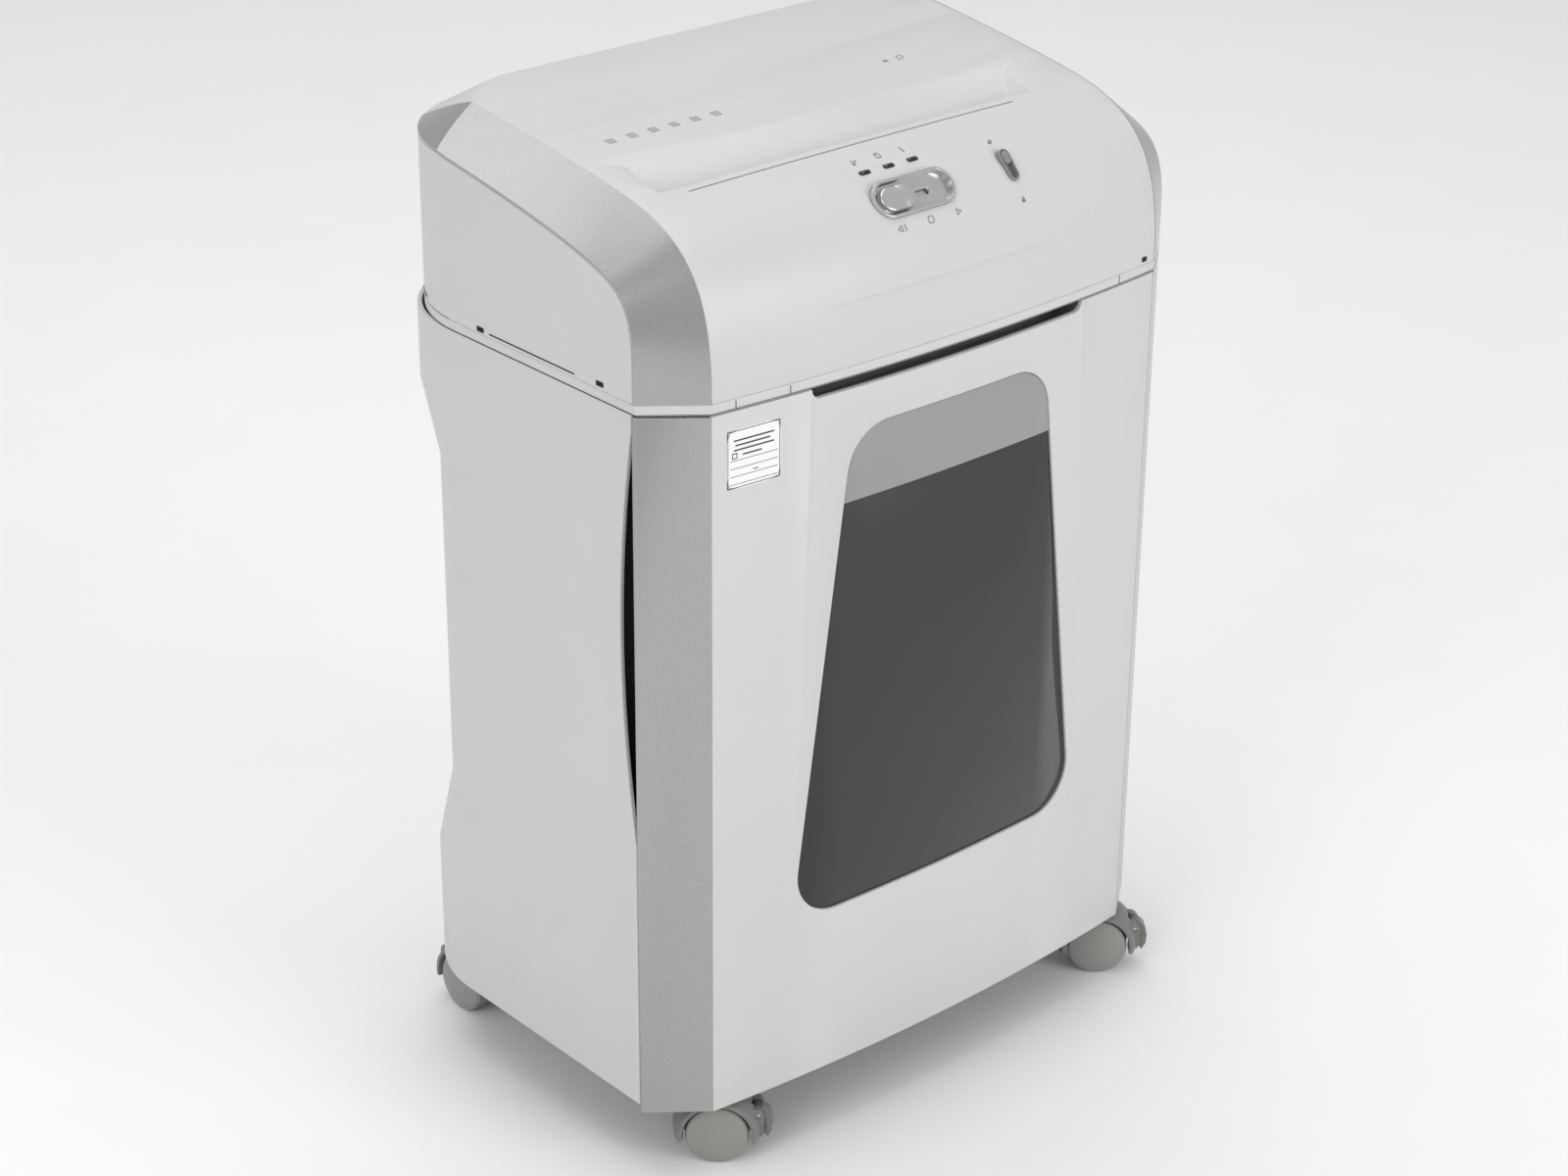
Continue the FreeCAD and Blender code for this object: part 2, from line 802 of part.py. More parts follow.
def throat_guide():
    """Two walls under the slot that lead the paper down between the cutters.  The rear one
    is slotted for the paper sensor's arm and carries the two lugs it swings in."""
    low = shaft_z + size("guide_rise")
    high = entry_floor - size("guide_wall") - 0.2
    thick = size("guide_wall")
    left = throat_left + size("guide_end_gap")
    length = size("throat_width") - 2 * size("guide_end_gap")
    front = Part.makeBox(length, thick, high - low, Vector(left, slot_front - thick, low))
    back = Part.makeBox(length, thick, high - low, Vector(left, slot_back, low))
    ends = [Part.makeBox(2.0, slot_back - slot_front, high - low, Vector(x, slot_front, low))
            for x in (left, left + length - 2.0)]
    lugs = []
    for way in (-1, 1):
        x = sensor_x + way * (sensor_barrel / 2 + 0.3 + lug_thickness / 2) - lug_thickness / 2
        lugs.append(Part.makeBox(lug_thickness, sensor_y + 3.0 - slot_back, 6.0,
                                 Vector(x, slot_back, sensor_z - 3.0)))
    slot = Part.makeBox(sensor_arm + 3.0, thick + 2.0, sensor_z - low + 1.0,
                        Vector(sensor_x - sensor_arm / 2 - 1.5, slot_back - 1.0, low - 1.0))
    hole = x_cylinder(sensor_pin + size("running_clearance"), 40.0, sensor_x - 20.0, sensor_y, sensor_z)
    return front.fuse([back] + ends + lugs).cut([slot, hole])


shape_node("throat_guide", throat_guide())


# ---------------------------------------------------------------- lower housing

interlock_x = -size("pull_half") + 4.0
interlock_y = size("pull_depth") - 1.0
interlock_plunger = 1.5


def lower_housing():
    tray = plan_block(seam, seam + size("tray_thickness"))
    rim = plan_block(seam, lip_top).cut(plan_block(seam - 1, lip_top + 1, size("lip_wall")))
    housing = tray.fuse(rim)
    reach = size("disc_radius") + shaft_spacing / 2 + 2
    outlet = Part.makeBox(size("throat_width") - 6, 2 * reach, 20,
                          Vector(throat_left + 3, size("slot_depth") - reach, seam - 5))
    plunger_hole = z_cylinder(interlock_plunger + 0.5, seam - 5, seam + 5, interlock_x, interlock_y)
    tools = [outlet, plunger_hole]
    for x, z in cover_screw_places:
        block = Part.makeBox(12, 8, z + 5 - seam, Vector(x - 6, head_back - wall - 8, seam))
        housing = housing.fuse(block)
        tools.append(y_cylinder(size("screw_radius"), x, z, head_back - 10, head_back + 2))
    return housing.cut(tools)


shape_node("lower_housing", lower_housing())


def cord_gland():
    """A bush with an outer flange, in the back of the cover, where a mains lead would enter."""
    flange_back = head_back + size("gland_flange")
    sleeve = y_cylinder(size("gland_radius"), gland_x, gland_z, head_back - size("gland_length"), head_back)
    flange = y_cylinder(size("gland_radius") + 2, gland_x, gland_z, head_back, flange_back)
    bore = y_cylinder(size("gland_bore"), gland_x, gland_z, head_back - size("gland_length") - 1,
                      flange_back + 1)
    return sleeve.fuse(flange).cut(bore)


shape_node("cord_gland", cord_gland())


# ---------------------------------------------------------------- cutting frame

plate_low = "(seam_height + tray_thickness)"
left_plate_x = "(throat_offset - throat_width / 2 - plate_thickness)"
right_plate_x = "(throat_offset + throat_width / 2)"
front_shaft_y = "(slot_depth - %s / 2)" % SHAFT_SPACING
rear_shaft_y = "(slot_depth + %s / 2)" % SHAFT_SPACING
last_distance = "(main_module * (main_teeth + last_pinion_teeth) / 2)"
second_distance = "(second_module * (second_teeth + second_pinion_teeth) / 2)"
first_distance = "(fine_module * (first_teeth + motor_teeth) / 2)"


def along(start, distance, angle, trade):
    return "(%s + %s * %s(%s * 1deg))" % (start, distance, trade, angle)


second_y = along(rear_shaft_y, last_distance, "second_angle", "cos")
second_z = along(SHAFT_HEIGHT, last_distance, "second_angle", "sin")
first_y = along(second_y, second_distance, "first_angle", "cos")
first_z = along(second_z, second_distance, "first_angle", "sin")
motor_y = along(first_y, first_distance, "motor_angle", "cos")
motor_z = along(first_z, first_distance, "motor_angle", "sin")


def beside_cutters(back, up):
    """A place in the cutting frame, counted back from the slot and up from the shafts."""
    return "(slot_depth + %s)" % back, "(%s + %s)" % (SHAFT_HEIGHT, up)


ROD_PLACES = [beside_cutters(*place) for place in ((-32.6, -22), (-32.6, 20), (37.4, -26), (9.4, 36))]
plate_top = "(%s + plate_rise)" % SHAFT_HEIGHT
plate_front = "(slot_depth - plate_reach)"


def plate_outline(back):
    """A side plate with its top front corner cut off for the head's slope."""
    return [(plate_front, plate_low), (back, plate_low), (back, plate_top),
            ("(%s + plate_cut_back)" % plate_front, plate_top),
            (plate_front, "(%s - plate_cut_drop)" % plate_top)]


def rod_rings():
    return [("ring", y, z, "rod_radius") for y, z in ROD_PLACES]


shaft_rings = [("ring", y, SHAFT_HEIGHT, "bush_radius") for y in (front_shaft_y, rear_shaft_y)]
gear_pin_rings = [("ring", second_y, second_z, "pin_radius"), ("ring", first_y, first_z, "pin_radius")]
motor_ring = [("ring", motor_y, motor_z, "(motor_shaft_radius + motor_hole_gap)")]

padded_body("side_plate_left", "YZ_Plane",
            [plate_outline("(slot_depth + plate_back_reach)")] + rod_rings() + shaft_rings,
            "plate_thickness", left_plate_x)
padded_body("side_plate_right", "YZ_Plane",
            [plate_outline("(%s + motor_radius + plate_margin)" % motor_y)] + rod_rings() + shaft_rings
            + gear_pin_rings + motor_ring,
            "plate_thickness", right_plate_x)
gear_plate_x = "(%s + plate_thickness + 4 * gear_layer + 2 * gear_side_gap)" % right_plate_x
padded_body("gear_plate", "YZ_Plane",
            [rectangle("(%s - gear_plate_front)" % rear_shaft_y, "(%s + gear_plate_lift)" % plate_low,
                       "(%s + gear_plate_back)" % motor_y, "(%s - gear_plate_drop)" % plate_top)]
            + gear_pin_rings + [("ring", motor_y, motor_z, "(motor_shaft_radius + running_clearance)")],
            "plate_thickness", gear_plate_x)

rods = [cylinder("rod_radius", "throat_width + 2 * plate_thickness", (left_plate_x, y, z), (1, 0, 0))
        for y, z in ROD_PLACES]
node(grouped(rods), "tie_rods")

pin_length = "(%s + plate_thickness - %s)" % (gear_plate_x, right_plate_x)
pins = [cylinder("pin_radius", pin_length, (right_plate_x, y, z), (1, 0, 0))
        for y, z in ((second_y, second_z), (first_y, first_z))]
node(grouped(pins), "gear_pins")


def bush(x, y):
    ring = cylinder("bush_radius", "bush_length", (x, y, SHAFT_HEIGHT), (1, 0, 0))
    hole = cylinder("journal_radius + running_clearance", "bush_length + 2",
                    ("%s - 1" % x, y, SHAFT_HEIGHT), (1, 0, 0))
    return cut(ring, [hole])


bush_left_x = "(%s - (bush_length - plate_thickness) / 2)" % left_plate_x
bush_right_x = "(%s - (bush_length - plate_thickness) / 2)" % right_plate_x
node(grouped([bush(x, y) for x in (bush_left_x, bush_right_x) for y in (front_shaft_y, rear_shaft_y)]),
     "shaft_bushes")


# ---------------------------------------------------------------- cutters

HOOK_TURN = 60.0
HOOKS = 3
hook_radius = 1.8
journal_reach = 3.0
comb_gap = 0.4
comb_hub_gap = 0.7
comb_disc_gap = 3.0
comb_bar_depth = 5.0
comb_bar_height = 14.0
finger_height = 8.0
disc_pitch = 2 * (size("disc_thickness") + size("disc_clearance"))
disc_count = int(size("disc_count"))
stack_length = disc_count * disc_pitch
stack_left = size("throat_offset") - (stack_length + disc_pitch / 2) / 2


def hexagon(radius, y, z):
    turns = [math.radians(60 * step) for step in range(6)]
    return [(y + radius * math.cos(turn), z + radius * math.sin(turn)) for turn in turns]


def cutter_shaft(y, right_end):
    """A hexagonal bar between round journals."""
    left_end = throat_left - size("plate_thickness") - journal_reach
    journal = x_cylinder(size("journal_radius"), right_end - left_end, left_end, y, shaft_z)
    bush_gap = size("bush_length") / 2 - size("plate_thickness") / 2 + 0.5
    bar = x_prism(hexagon(size("hex_radius"), y, shaft_z), throat_left + bush_gap,
                  size("throat_width") - 2 * bush_gap)
    return journal.fuse(bar)


def cutter_disc(y):
    """One disc with its spacer hub, three hooks and a hexagonal bore, at X = 0."""
    radius = size("disc_radius")
    disc = x_cylinder(radius, size("disc_thickness"), 0, y, shaft_z)
    hub = x_cylinder(size("hub_radius"), disc_pitch, 0, y, shaft_z)
    notches = []
    for step in range(HOOKS):
        turn = 2 * math.pi * step / HOOKS
        tip = (y + radius * math.cos(turn), shaft_z + radius * math.sin(turn))
        notches.append(x_cylinder(hook_radius, 20, -5, *tip))
    bore = x_prism(hexagon(size("hex_radius"), y, shaft_z), -5, 20)
    return disc.fuse(hub).cut(notches + [bore])


def disc_stack(y, left):
    discs = []
    master = cutter_disc(y)
    for step in range(disc_count):
        disc = master.copy()
        disc.rotate(Vector(0, y, shaft_z), Vector(1, 0, 0), HOOK_TURN * step)
        disc.translate(Vector(left + step * disc_pitch, 0, 0))
        discs.append(disc)
    return Part.makeCompound(discs)


layer = size("gear_layer")
gear_width = size("gear_width")
gears_left = throat_right + size("plate_thickness") + size("gear_side_gap")
layer_x = [gears_left + layer * step for step in range(4)]

shape_node("cutter_shaft_front", cutter_shaft(shaft_front_y, layer_x[0] + gear_width + 0.5))
shape_node("cutter_shaft_rear", cutter_shaft(shaft_rear_y, layer_x[1] + gear_width + 0.5))
shape_node("cutter_discs_front", disc_stack(shaft_front_y, stack_left))
shape_node("cutter_discs_rear", disc_stack(shaft_rear_y, stack_left + disc_pitch / 2))


def stripper_comb(y, way, left):
    """A bar with a finger in each gap between the discs of one shaft."""
    hub = size("hub_radius") + comb_hub_gap
    reach = size("disc_radius") + comb_disc_gap
    far = y + way * reach
    near = y + way * hub
    bar_front = min(far, far + way * comb_bar_depth)
    length = size("throat_width")
    bar = Part.makeBox(length, comb_bar_depth, comb_bar_height,
                       Vector(throat_left, bar_front, shaft_z - comb_bar_height / 2))
    gap = disc_pitch - size("disc_thickness")
    finger_width = gap - 2 * comb_gap
    fingers = []
    for step in range(disc_count - 1):
        x = left + step * disc_pitch + size("disc_thickness") + comb_gap
        fingers.append(Part.makeBox(finger_width, abs(far - near) + 0.5, finger_height,
                                    Vector(x, min(near, far + way * 0.5), shaft_z - finger_height / 2)))
    return bar.fuse(fingers)


shape_node("stripper_comb_front", stripper_comb(shaft_front_y, -1, stack_left))
shape_node("stripper_comb_rear", stripper_comb(shaft_rear_y, 1, stack_left + disc_pitch / 2))


# ---------------------------------------------------------------- gears

PRESSURE = math.radians(20)
ADDENDUM = 0.9
DEDENDUM = 1.2


def involute(base, roll, turn, y, z, side):
    """A point of an involute flank, turned about the gear's centre."""
    reach = base * math.sqrt(1 + roll * roll)
    angle = turn + side * (roll - math.atan(roll))
    return y + reach * math.cos(angle), z + reach * math.sin(angle)


def toothed(module, teeth, x, y, z, phase):
    """A spur gear along X with involute flanks.  A tooth points at the angle phase."""
    teeth = int(teeth)
    pitch = module * teeth / 2
    base = pitch * math.cos(PRESSURE)
    tip = pitch + ADDENDUM * module
    root = pitch - DEDENDUM * module
    start_roll = math.sqrt(max((max(root + 0.1, base) / base) ** 2 - 1, 0))
    end_roll = math.sqrt((tip / base) ** 2 - 1)
    half_tooth = math.pi / (2 * teeth) - size("tooth_backlash") / (2 * pitch)
    flank_offset = half_tooth + math.tan(PRESSURE) - PRESSURE
    points = []
    flank_steps = 3
    for tooth in range(teeth):
        middle = phase + 2 * math.pi * tooth / teeth
        low_turn = middle - flank_offset
        high_turn = middle + flank_offset
        foot_low = involute(base, start_roll, low_turn, 0, 0, 1)
        foot_high = involute(base, start_roll, high_turn, 0, 0, -1)
        low_angle = math.atan2(foot_low[1], foot_low[0])
        high_angle = math.atan2(foot_high[1], foot_high[0])
        points.append((y + root * math.cos(low_angle), z + root * math.sin(low_angle)))
        for step in range(flank_steps + 1):
            roll = start_roll + (end_roll - start_roll) * step / flank_steps
            points.append(involute(base, roll, low_turn, y, z, 1))
        for step in range(flank_steps, -1, -1):
            roll = start_roll + (end_roll - start_roll) * step / flank_steps
            points.append(involute(base, roll, high_turn, y, z, -1))
        points.append((y + root * math.cos(high_angle), z + root * math.sin(high_angle)))
    return x_prism(points, x, gear_width)


def number_at(place):
    return number_of(place[0]), number_of(place[1])


second_at = number_at((second_y, second_z))
first_at = number_at((first_y, first_z))
motor_at = number_at((motor_y, motor_z))
rear_at = (shaft_rear_y, shaft_z)
front_at = (shaft_front_y, shaft_z)


def bearing(start, end):
    """The angle from one gear's centre towards another's."""
    return math.atan2(end[1] - start[1], end[0] - start[0])


def meshing_phase(teeth, towards):
    """Puts a tooth space on the line of centres."""
    return towards + math.pi / teeth


def cutter_gears():
    sync_teeth = size("sync_teeth")
    sync_module = shaft_spacing / sync_teeth
    front_bearing = bearing(rear_at, front_at)
    rear_sync = toothed(sync_module, sync_teeth, layer_x[0], *rear_at, front_bearing)
    front_sync = toothed(sync_module, sync_teeth, layer_x[0], *front_at,
                         meshing_phase(sync_teeth, bearing(front_at, rear_at)))
    main = toothed(size("main_module"), size("main_teeth"), layer_x[1], *rear_at,
                   bearing(rear_at, second_at))
    journal = size("journal_radius")
    collar = x_cylinder(journal + 3.5, layer, layer_x[0], *rear_at)
    rear_bore = x_cylinder(journal, 60, layer_x[0] - 5, *rear_at)
    front_bore = x_cylinder(journal, 60, layer_x[0] - 5, *front_at)
    shape_node("cutter_gear_front", front_sync.cut(front_bore))
    shape_node("cutter_gear_rear", rear_sync.fuse([collar, main]).cut(rear_bore))


cutter_gears()


def compound_gear(label, at, small, small_layer, large, large_layer):
    """A large gear and its pinion in one piece, bored to run on a fixed pin."""
    hub = x_cylinder(small[0] * small[1] / 2 - 1.3 * small[0], layer, layer_x[small_layer], *at)
    bore = x_cylinder(size("pin_radius") + size("running_clearance"), 80, layer_x[0] - 5, *at)
    pinion = toothed(small[0], small[1], layer_x[small_layer], *at, small[2])
    wheel = toothed(large[0], large[1], layer_x[large_layer], *at, large[2])
    shape_node(label, pinion.fuse([hub, wheel]).cut(bore))


compound_gear(
    "second_gear", second_at,
    (size("main_module"), size("last_pinion_teeth"),
     meshing_phase(size("last_pinion_teeth"), bearing(second_at, rear_at))), 1,
    (size("second_module"), size("second_teeth"), bearing(second_at, first_at)), 2)
compound_gear(
    "first_gear", first_at,
    (size("second_module"), size("second_pinion_teeth"),
     meshing_phase(size("second_pinion_teeth"), bearing(first_at, second_at))), 2,
    (size("fine_module"), size("first_teeth"), bearing(first_at, motor_at)), 3)


# ---------------------------------------------------------------- motor

motor_right = throat_right - size("motor_standoff")
motor_left = motor_right - size("motor_length")


def motor_body():
    can = x_cylinder(size("motor_radius"), size("motor_length"), motor_left, *motor_at)
    boss = x_cylinder(size("motor_boss_radius"), size("motor_standoff"), motor_right, *motor_at)
    can_wall = size("can_wall")
    cavity = x_cylinder(size("rotor_radius") + size("rotor_gap"), size("motor_length") - 2 * can_wall,
                        motor_left + can_wall, *motor_at)
    bore = x_cylinder(size("motor_shaft_radius") + size("running_clearance"), 200, motor_left - 50,
                      *motor_at)
    return can.fuse(boss).cut([cavity, bore])


fan_gap = 10.0
fan_hub_radius = 7.0
fan_hub_length = 7.0
fan_plate_thickness = 1.4
fan_blades = 9
blade_depth = 6.5
blade_thickness = 1.2
core_gap = 5.0


def motor_rotor():
    start = motor_left - fan_gap - 2.0
    end = layer_x[3] + gear_width + 2.0
    shaft = x_cylinder(size("motor_shaft_radius"), end - start, start, *motor_at)
    core_inset = size("can_wall") + core_gap
    core = x_cylinder(size("rotor_radius"), size("motor_length") - 2 * core_inset, motor_left + core_inset,
                      *motor_at)
    pinion = toothed(size("fine_module"), size("motor_teeth"), layer_x[3], *motor_at,
                     meshing_phase(size("motor_teeth"), bearing(motor_at, first_at)))
    return shaft.fuse([core, pinion])


def motor_fan():
    x = motor_left - fan_gap
    hub = x_cylinder(fan_hub_radius, fan_hub_length, x, *motor_at)
    plate = x_cylinder(size("fan_radius"), fan_plate_thickness, x, *motor_at)
    blades = []
    for step in range(fan_blades):
        blade = Part.makeBox(blade_depth, blade_thickness, size("fan_radius") - fan_hub_radius + 0.5,
                             Vector(x, motor_at[0] - blade_thickness / 2,
                                    motor_at[1] + fan_hub_radius - 1.0))
        blade.rotate(Vector(x, *motor_at), Vector(1, 0, 0), 360.0 / fan_blades * step)
        blades.append(blade)
    bore = x_cylinder(size("motor_shaft_radius"), 30, x - 5, *motor_at)
    return hub.fuse([plate] + blades).cut(bore)


shape_node("motor_body", motor_body())
shape_node("motor_rotor", motor_rotor())
shape_node("motor_fan", motor_fan())


# ---------------------------------------------------------------- electrics

board_left = "(bezel_offset - board_length / 2)"
board_right = "(bezel_offset + board_length / 2)"
board_low = "(%s - board_drop)" % SHAFT_HEIGHT
padded_body("control_board", "XZ_Plane",
            [rectangle(board_left, board_low, board_right, "(%s + board_height)" % board_low)]
            + [("ring", x, "(%s + board_hole_inset)" % board_low, "screw_radius")
               for x in ("(%s + board_hole_inset)" % board_left, "(%s - board_hole_inset)" % board_right)],
            "board_thickness", "-board_depth")


selector_length = 34.0
selector_width = 10.0
selector_height = 9.0
channel_gap = 0.5
channel_depth = 5.0


def selector_switch():
    """A slide switch under the bezel, with a channel that the slider's stem drives."""
    top = bezel_underside - size("slider_clearance") - shutter_thickness - 0.4
    body = Part.makeBox(selector_length, selector_width, selector_height,
                        Vector(-selector_length / 2, -selector_width / 2, top - selector_height))
    reach = size("slider_step") + stem_length / 2 + 2 * channel_gap
    channel = Part.makeBox(2 * reach, stem_width + 2 * channel_gap, channel_depth + 1,
                           Vector(-reach, -stem_width / 2 - channel_gap, top - channel_depth))
    return bezel_spot(body.cut(channel))


shape_node("selector_switch", selector_switch())


microswitch_length = 20.0
microswitch_depth = 10.0
microswitch_height = 16.0
plunger_inset = 12.0
plunger_depth = 3.0


def interlock_switch():
    """A microswitch on the tray.  Its plunger reaches through the tray and is held up by
    the back wall of the bin's finger trough while the bin is shut."""
    low = seam + size("tray_thickness")
    body = Part.makeBox(microswitch_length, microswitch_depth, microswitch_height,
                        Vector(interlock_x - plunger_inset, interlock_y - plunger_depth, low))
    plunger = z_cylinder(interlock_plunger, seam - 0.4, low + 2, interlock_x, interlock_y)
    return body.fuse(plunger)


shape_node("interlock_switch", interlock_switch())


barrel_radius = 1.6
arm_thickness = 2.2


def sensor_lever():
    """A small flag that droops into the slot, so that a sheet's edge swings it down."""
    barrel = x_cylinder(barrel_radius, sensor_barrel, sensor_x - sensor_barrel / 2, sensor_y, sensor_z)
    pin_length = sensor_barrel + 2 * lug_thickness
    pin = x_cylinder(sensor_pin, pin_length, sensor_x - pin_length / 2, sensor_y, sensor_z)
    arm = Part.makeBox(sensor_arm, size("sensor_reach"), arm_thickness,
                       Vector(sensor_x - sensor_arm / 2, sensor_y - size("sensor_reach"),
                              sensor_z - arm_thickness / 2))
    arm.rotate(Vector(sensor_x, sensor_y, sensor_z), Vector(1, 0, 0), size("sensor_droop"))
    return barrel.fuse([pin, arm])


shape_node("paper_sensor_lever", sensor_lever())


# ---------------------------------------------------------------- cabinet

def cabinet_loft(inset, low, high, front_y):
    """The cabinet's outer or inner surface, waisted towards the back by a grip scoop."""
    levels = [
        (low, 0.0),
        (size("scoop_foot"), 0.0),
        (size("scoop_low"), size("scoop_depth")),
        (seam - size("scoop_high_drop"), size("scoop_depth")),
        (seam - size("scoop_head_drop"), 0.0),
        (high, 0.0),
    ]
    rings = []
    for z, waist in levels:
        half = half_width - inset
        edges = back_half(half, front_y, body_depth - inset, size("back_radius") - inset, z,
                          size("scoop_front"), waist)
        edges.append(line((-half, front_y, z), (half, front_y, z)))
        rings.append(edges_to_wire(edges))
    return Part.makeLoft(rings, True, True)


def grip_crescents():
    """The shallow crescents by which the silver corner is parted from each side wall."""
    front = size("side_edge")
    deep = front + size("grip_depth")
    low = size("grip_low")
    wide = seam - size("grip_wide_drop")
    high = seam - size("grip_high_drop")
    curve = Part.BSplineCurve()
    curve.interpolate([Vector(0, front, high), Vector(0, deep, wide), Vector(0, front, low)])
    closing = Part.makePolygon([Vector(0, front, low), Vector(0, front - 5, low),
                                Vector(0, front - 5, high), Vector(0, front, high)])
    outline = Part.Wire([curve.toShape()] + closing.Edges)
    tool = prism(outline, (size("body_width") + 10, 0, 0))
    tool.translate(Vector(-half_width - 5, 0, 0))
    return tool


def cabinet_shell():
    front = size("side_edge")
    outer = cabinet_loft(0.0, base_low, seam, front)
    inner = cabinet_loft(size("cabinet_wall"), base_low - 1, seam + 1, front - 5)
    return outer.cut([inner, grip_crescents()])


shape_node("cabinet_shell", cabinet_shell())

stem_top = base_low + size("stem_reach")
boss_top = stem_top + 1.5
tub_foot = boss_top + size("tub_foot_gap")
caster_back = body_depth - size("caster_back_inset")
caster_places = {
    "front_left": (-size("caster_spread") / 2, size("caster_front")),
    "front_right": (size("caster_spread") / 2, size("caster_front")),
    "rear_left": (-size("caster_spread") / 2, caster_back),
    "rear_right": (size("caster_spread") / 2, caster_back),
}


base_shoulder = 7.0
base_nose = 9.0
base_corner_gap = 2.4
runner_front = 14.0
runner_back = 31.0
socket_flange = 1.6
socket_flange_reach = 3.0


def cabinet_base():
    """The floor of the cabinet, with a boss for each caster and two runners for the bin."""
    inset = size("cabinet_wall")
    half = half_width - inset
    shoulder = size("side_edge") + base_shoulder
    nose = base_nose
    corner = inner_half - base_corner_gap
    slant = corner + shoulder - nose
    edges = back_half(half, shoulder, body_depth - inset, size("back_radius") - inset, base_low)
    front = [(-half, shoulder), (-slant, shoulder), (-corner, nose), (corner, nose), (slant, shoulder),
             (half, shoulder)]
    for start, end in zip(front, front[1:]):
        edges.append(line((*start, base_low), (*end, base_low)))
    floor = prism(edges_to_wire(edges), (0, 0, size("base_thickness")))
    parts = []
    tools = []
    for x, y in caster_places.values():
        parts.append(z_cylinder(size("boss_radius"), base_low, boss_top, x, y))
        tools.append(z_cylinder(size("socket_radius"), base_low - 1, stem_top + 0.5, x, y))
    runner_top = tub_foot - 0.5
    for way in (-1, 1):
        left = way * size("runner_spread") / 2 - size("runner_width") / 2
        parts.append(Part.makeBox(size("runner_width"), body_depth - runner_front - runner_back,
                                  runner_top - base_low, Vector(left, runner_front, base_low)))
    return floor.fuse(parts).cut(tools)


shape_node("cabinet_base", cabinet_base())


def caster_sockets():
    """A flanged sleeve in each boss, in which a caster's stem turns."""
    sockets = []
    for x, y in caster_places.values():
        sleeve = z_cylinder(size("socket_radius"), base_low, stem_top + 0.5, x, y)
        flange = z_cylinder(size("socket_radius") + socket_flange_reach, base_low - socket_flange,
                            base_low, x, y)
        bore = z_cylinder(size("stem_radius") + size("running_clearance"), base_low - 5,
                          stem_top + 5, x, y)
        sockets.append(sleeve.fuse(flange).cut(bore))
    return Part.makeCompound(sockets)


shape_node("caster_sockets", caster_sockets())


# ---------------------------------------------------------------- casters

trail = size("caster_trail")
axle_z = size("wheel_radius")
hood_radius = number_of(HOOD_RADIUS)
web_half = size("web_thickness") / 2
axle_reach = size("axle_reach")


tail_length = 11.0
tail_overlap = 7.0
tail_half = 8.0
tail_height = 18.0
tail_drop = 5.0
tail_rounding = 5.0
hood_skirt = 3.5
boss_gap = 1.9
brake_gap = 0.3
brake_pin_radius = 1.25
brake_pin_half = 7.4


def axle_cylinder(radius, half_length, x=trail, z=axle_z):
    return Part.makeCylinder(radius, 2 * half_length, Vector(x, -half_length, z), Vector(0, 1, 0))


def caster_hood(braked):
    """A hood over twin wheels: a centre web, a curved cover and a boss for the stem.  The
    caster trails along +X from its stem at the origin."""
    radius = hood_radius
    reach = size("hood_half_width")
    crown = radius + size("hood_crown")
    profile = edges_to_wire([
        line((0, -reach, 0), (radius, -reach, 0)),
        arc((radius, -reach, 0), (crown, 0, 0), (radius, reach, 0)),
        line((radius, reach, 0), (0, reach, 0)),
        line((0, reach, 0), (0, -reach, 0)),
    ])
    cover = Part.Face(profile).revolve(Vector(), Vector(0, 1, 0), 360)
    cover.translate(Vector(trail, 0, axle_z))
    boss = z_cylinder(size("boss_radius"), axle_z, base_low - boss_gap)
    tail = Part.makeBox(tail_length, 2 * tail_half, tail_height,
                        Vector(trail + radius - tail_overlap, -tail_half, axle_z - tail_drop))
    tail_edges = [edge for edge in tail.Edges
                  if edge.BoundBox.XMin > trail + radius + 3 and edge.BoundBox.YLength > 1]
    tail = tail.makeFillet(tail_rounding, tail_edges)
    hood = cover.fuse([boss, tail])
    wells = []
    inner = radius - size("hood_wall")
    for way in (-1, 1):
        front = web_half if way > 0 else -web_half - 30
        wells.append(Part.makeCylinder(inner, 30, Vector(trail, front, axle_z), Vector(0, 1, 0)))
    under = Part.makeBox(90, 60, 30, Vector(-30, -30, axle_z - hood_skirt - 30))
    tools = wells + [under, axle_cylinder(size("axle_radius"), 30),
                     z_cylinder(size("stem_radius"), stem_foot, 60)]
    if braked:
        tools.append(Part.makeBox(20, 2 * (brake_half + brake_gap), 40,
                                  Vector(trail + inner - 0.5, -brake_half - brake_gap, 0)))
        tools.append(axle_cylinder(brake_pin_radius, 30, *brake_pivot))
    return largest(hood.cut(tools))


stem_foot = axle_z + hood_radius - 3.0
brake_half = 3.4
brake_pivot = (trail + hood_radius + 1.2, axle_z + 9.0)


def caster_pins(braked):
    """The steel stem and axle, and the brake's pin."""
    stem = z_cylinder(size("stem_radius"), stem_foot, stem_top)
    axle = axle_cylinder(size("axle_radius"), web_half + axle_reach)
    pins = [stem, axle]
    if braked:
        pins.append(axle_cylinder(brake_pin_radius, brake_pin_half, *brake_pivot))
    return Part.makeCompound(pins)


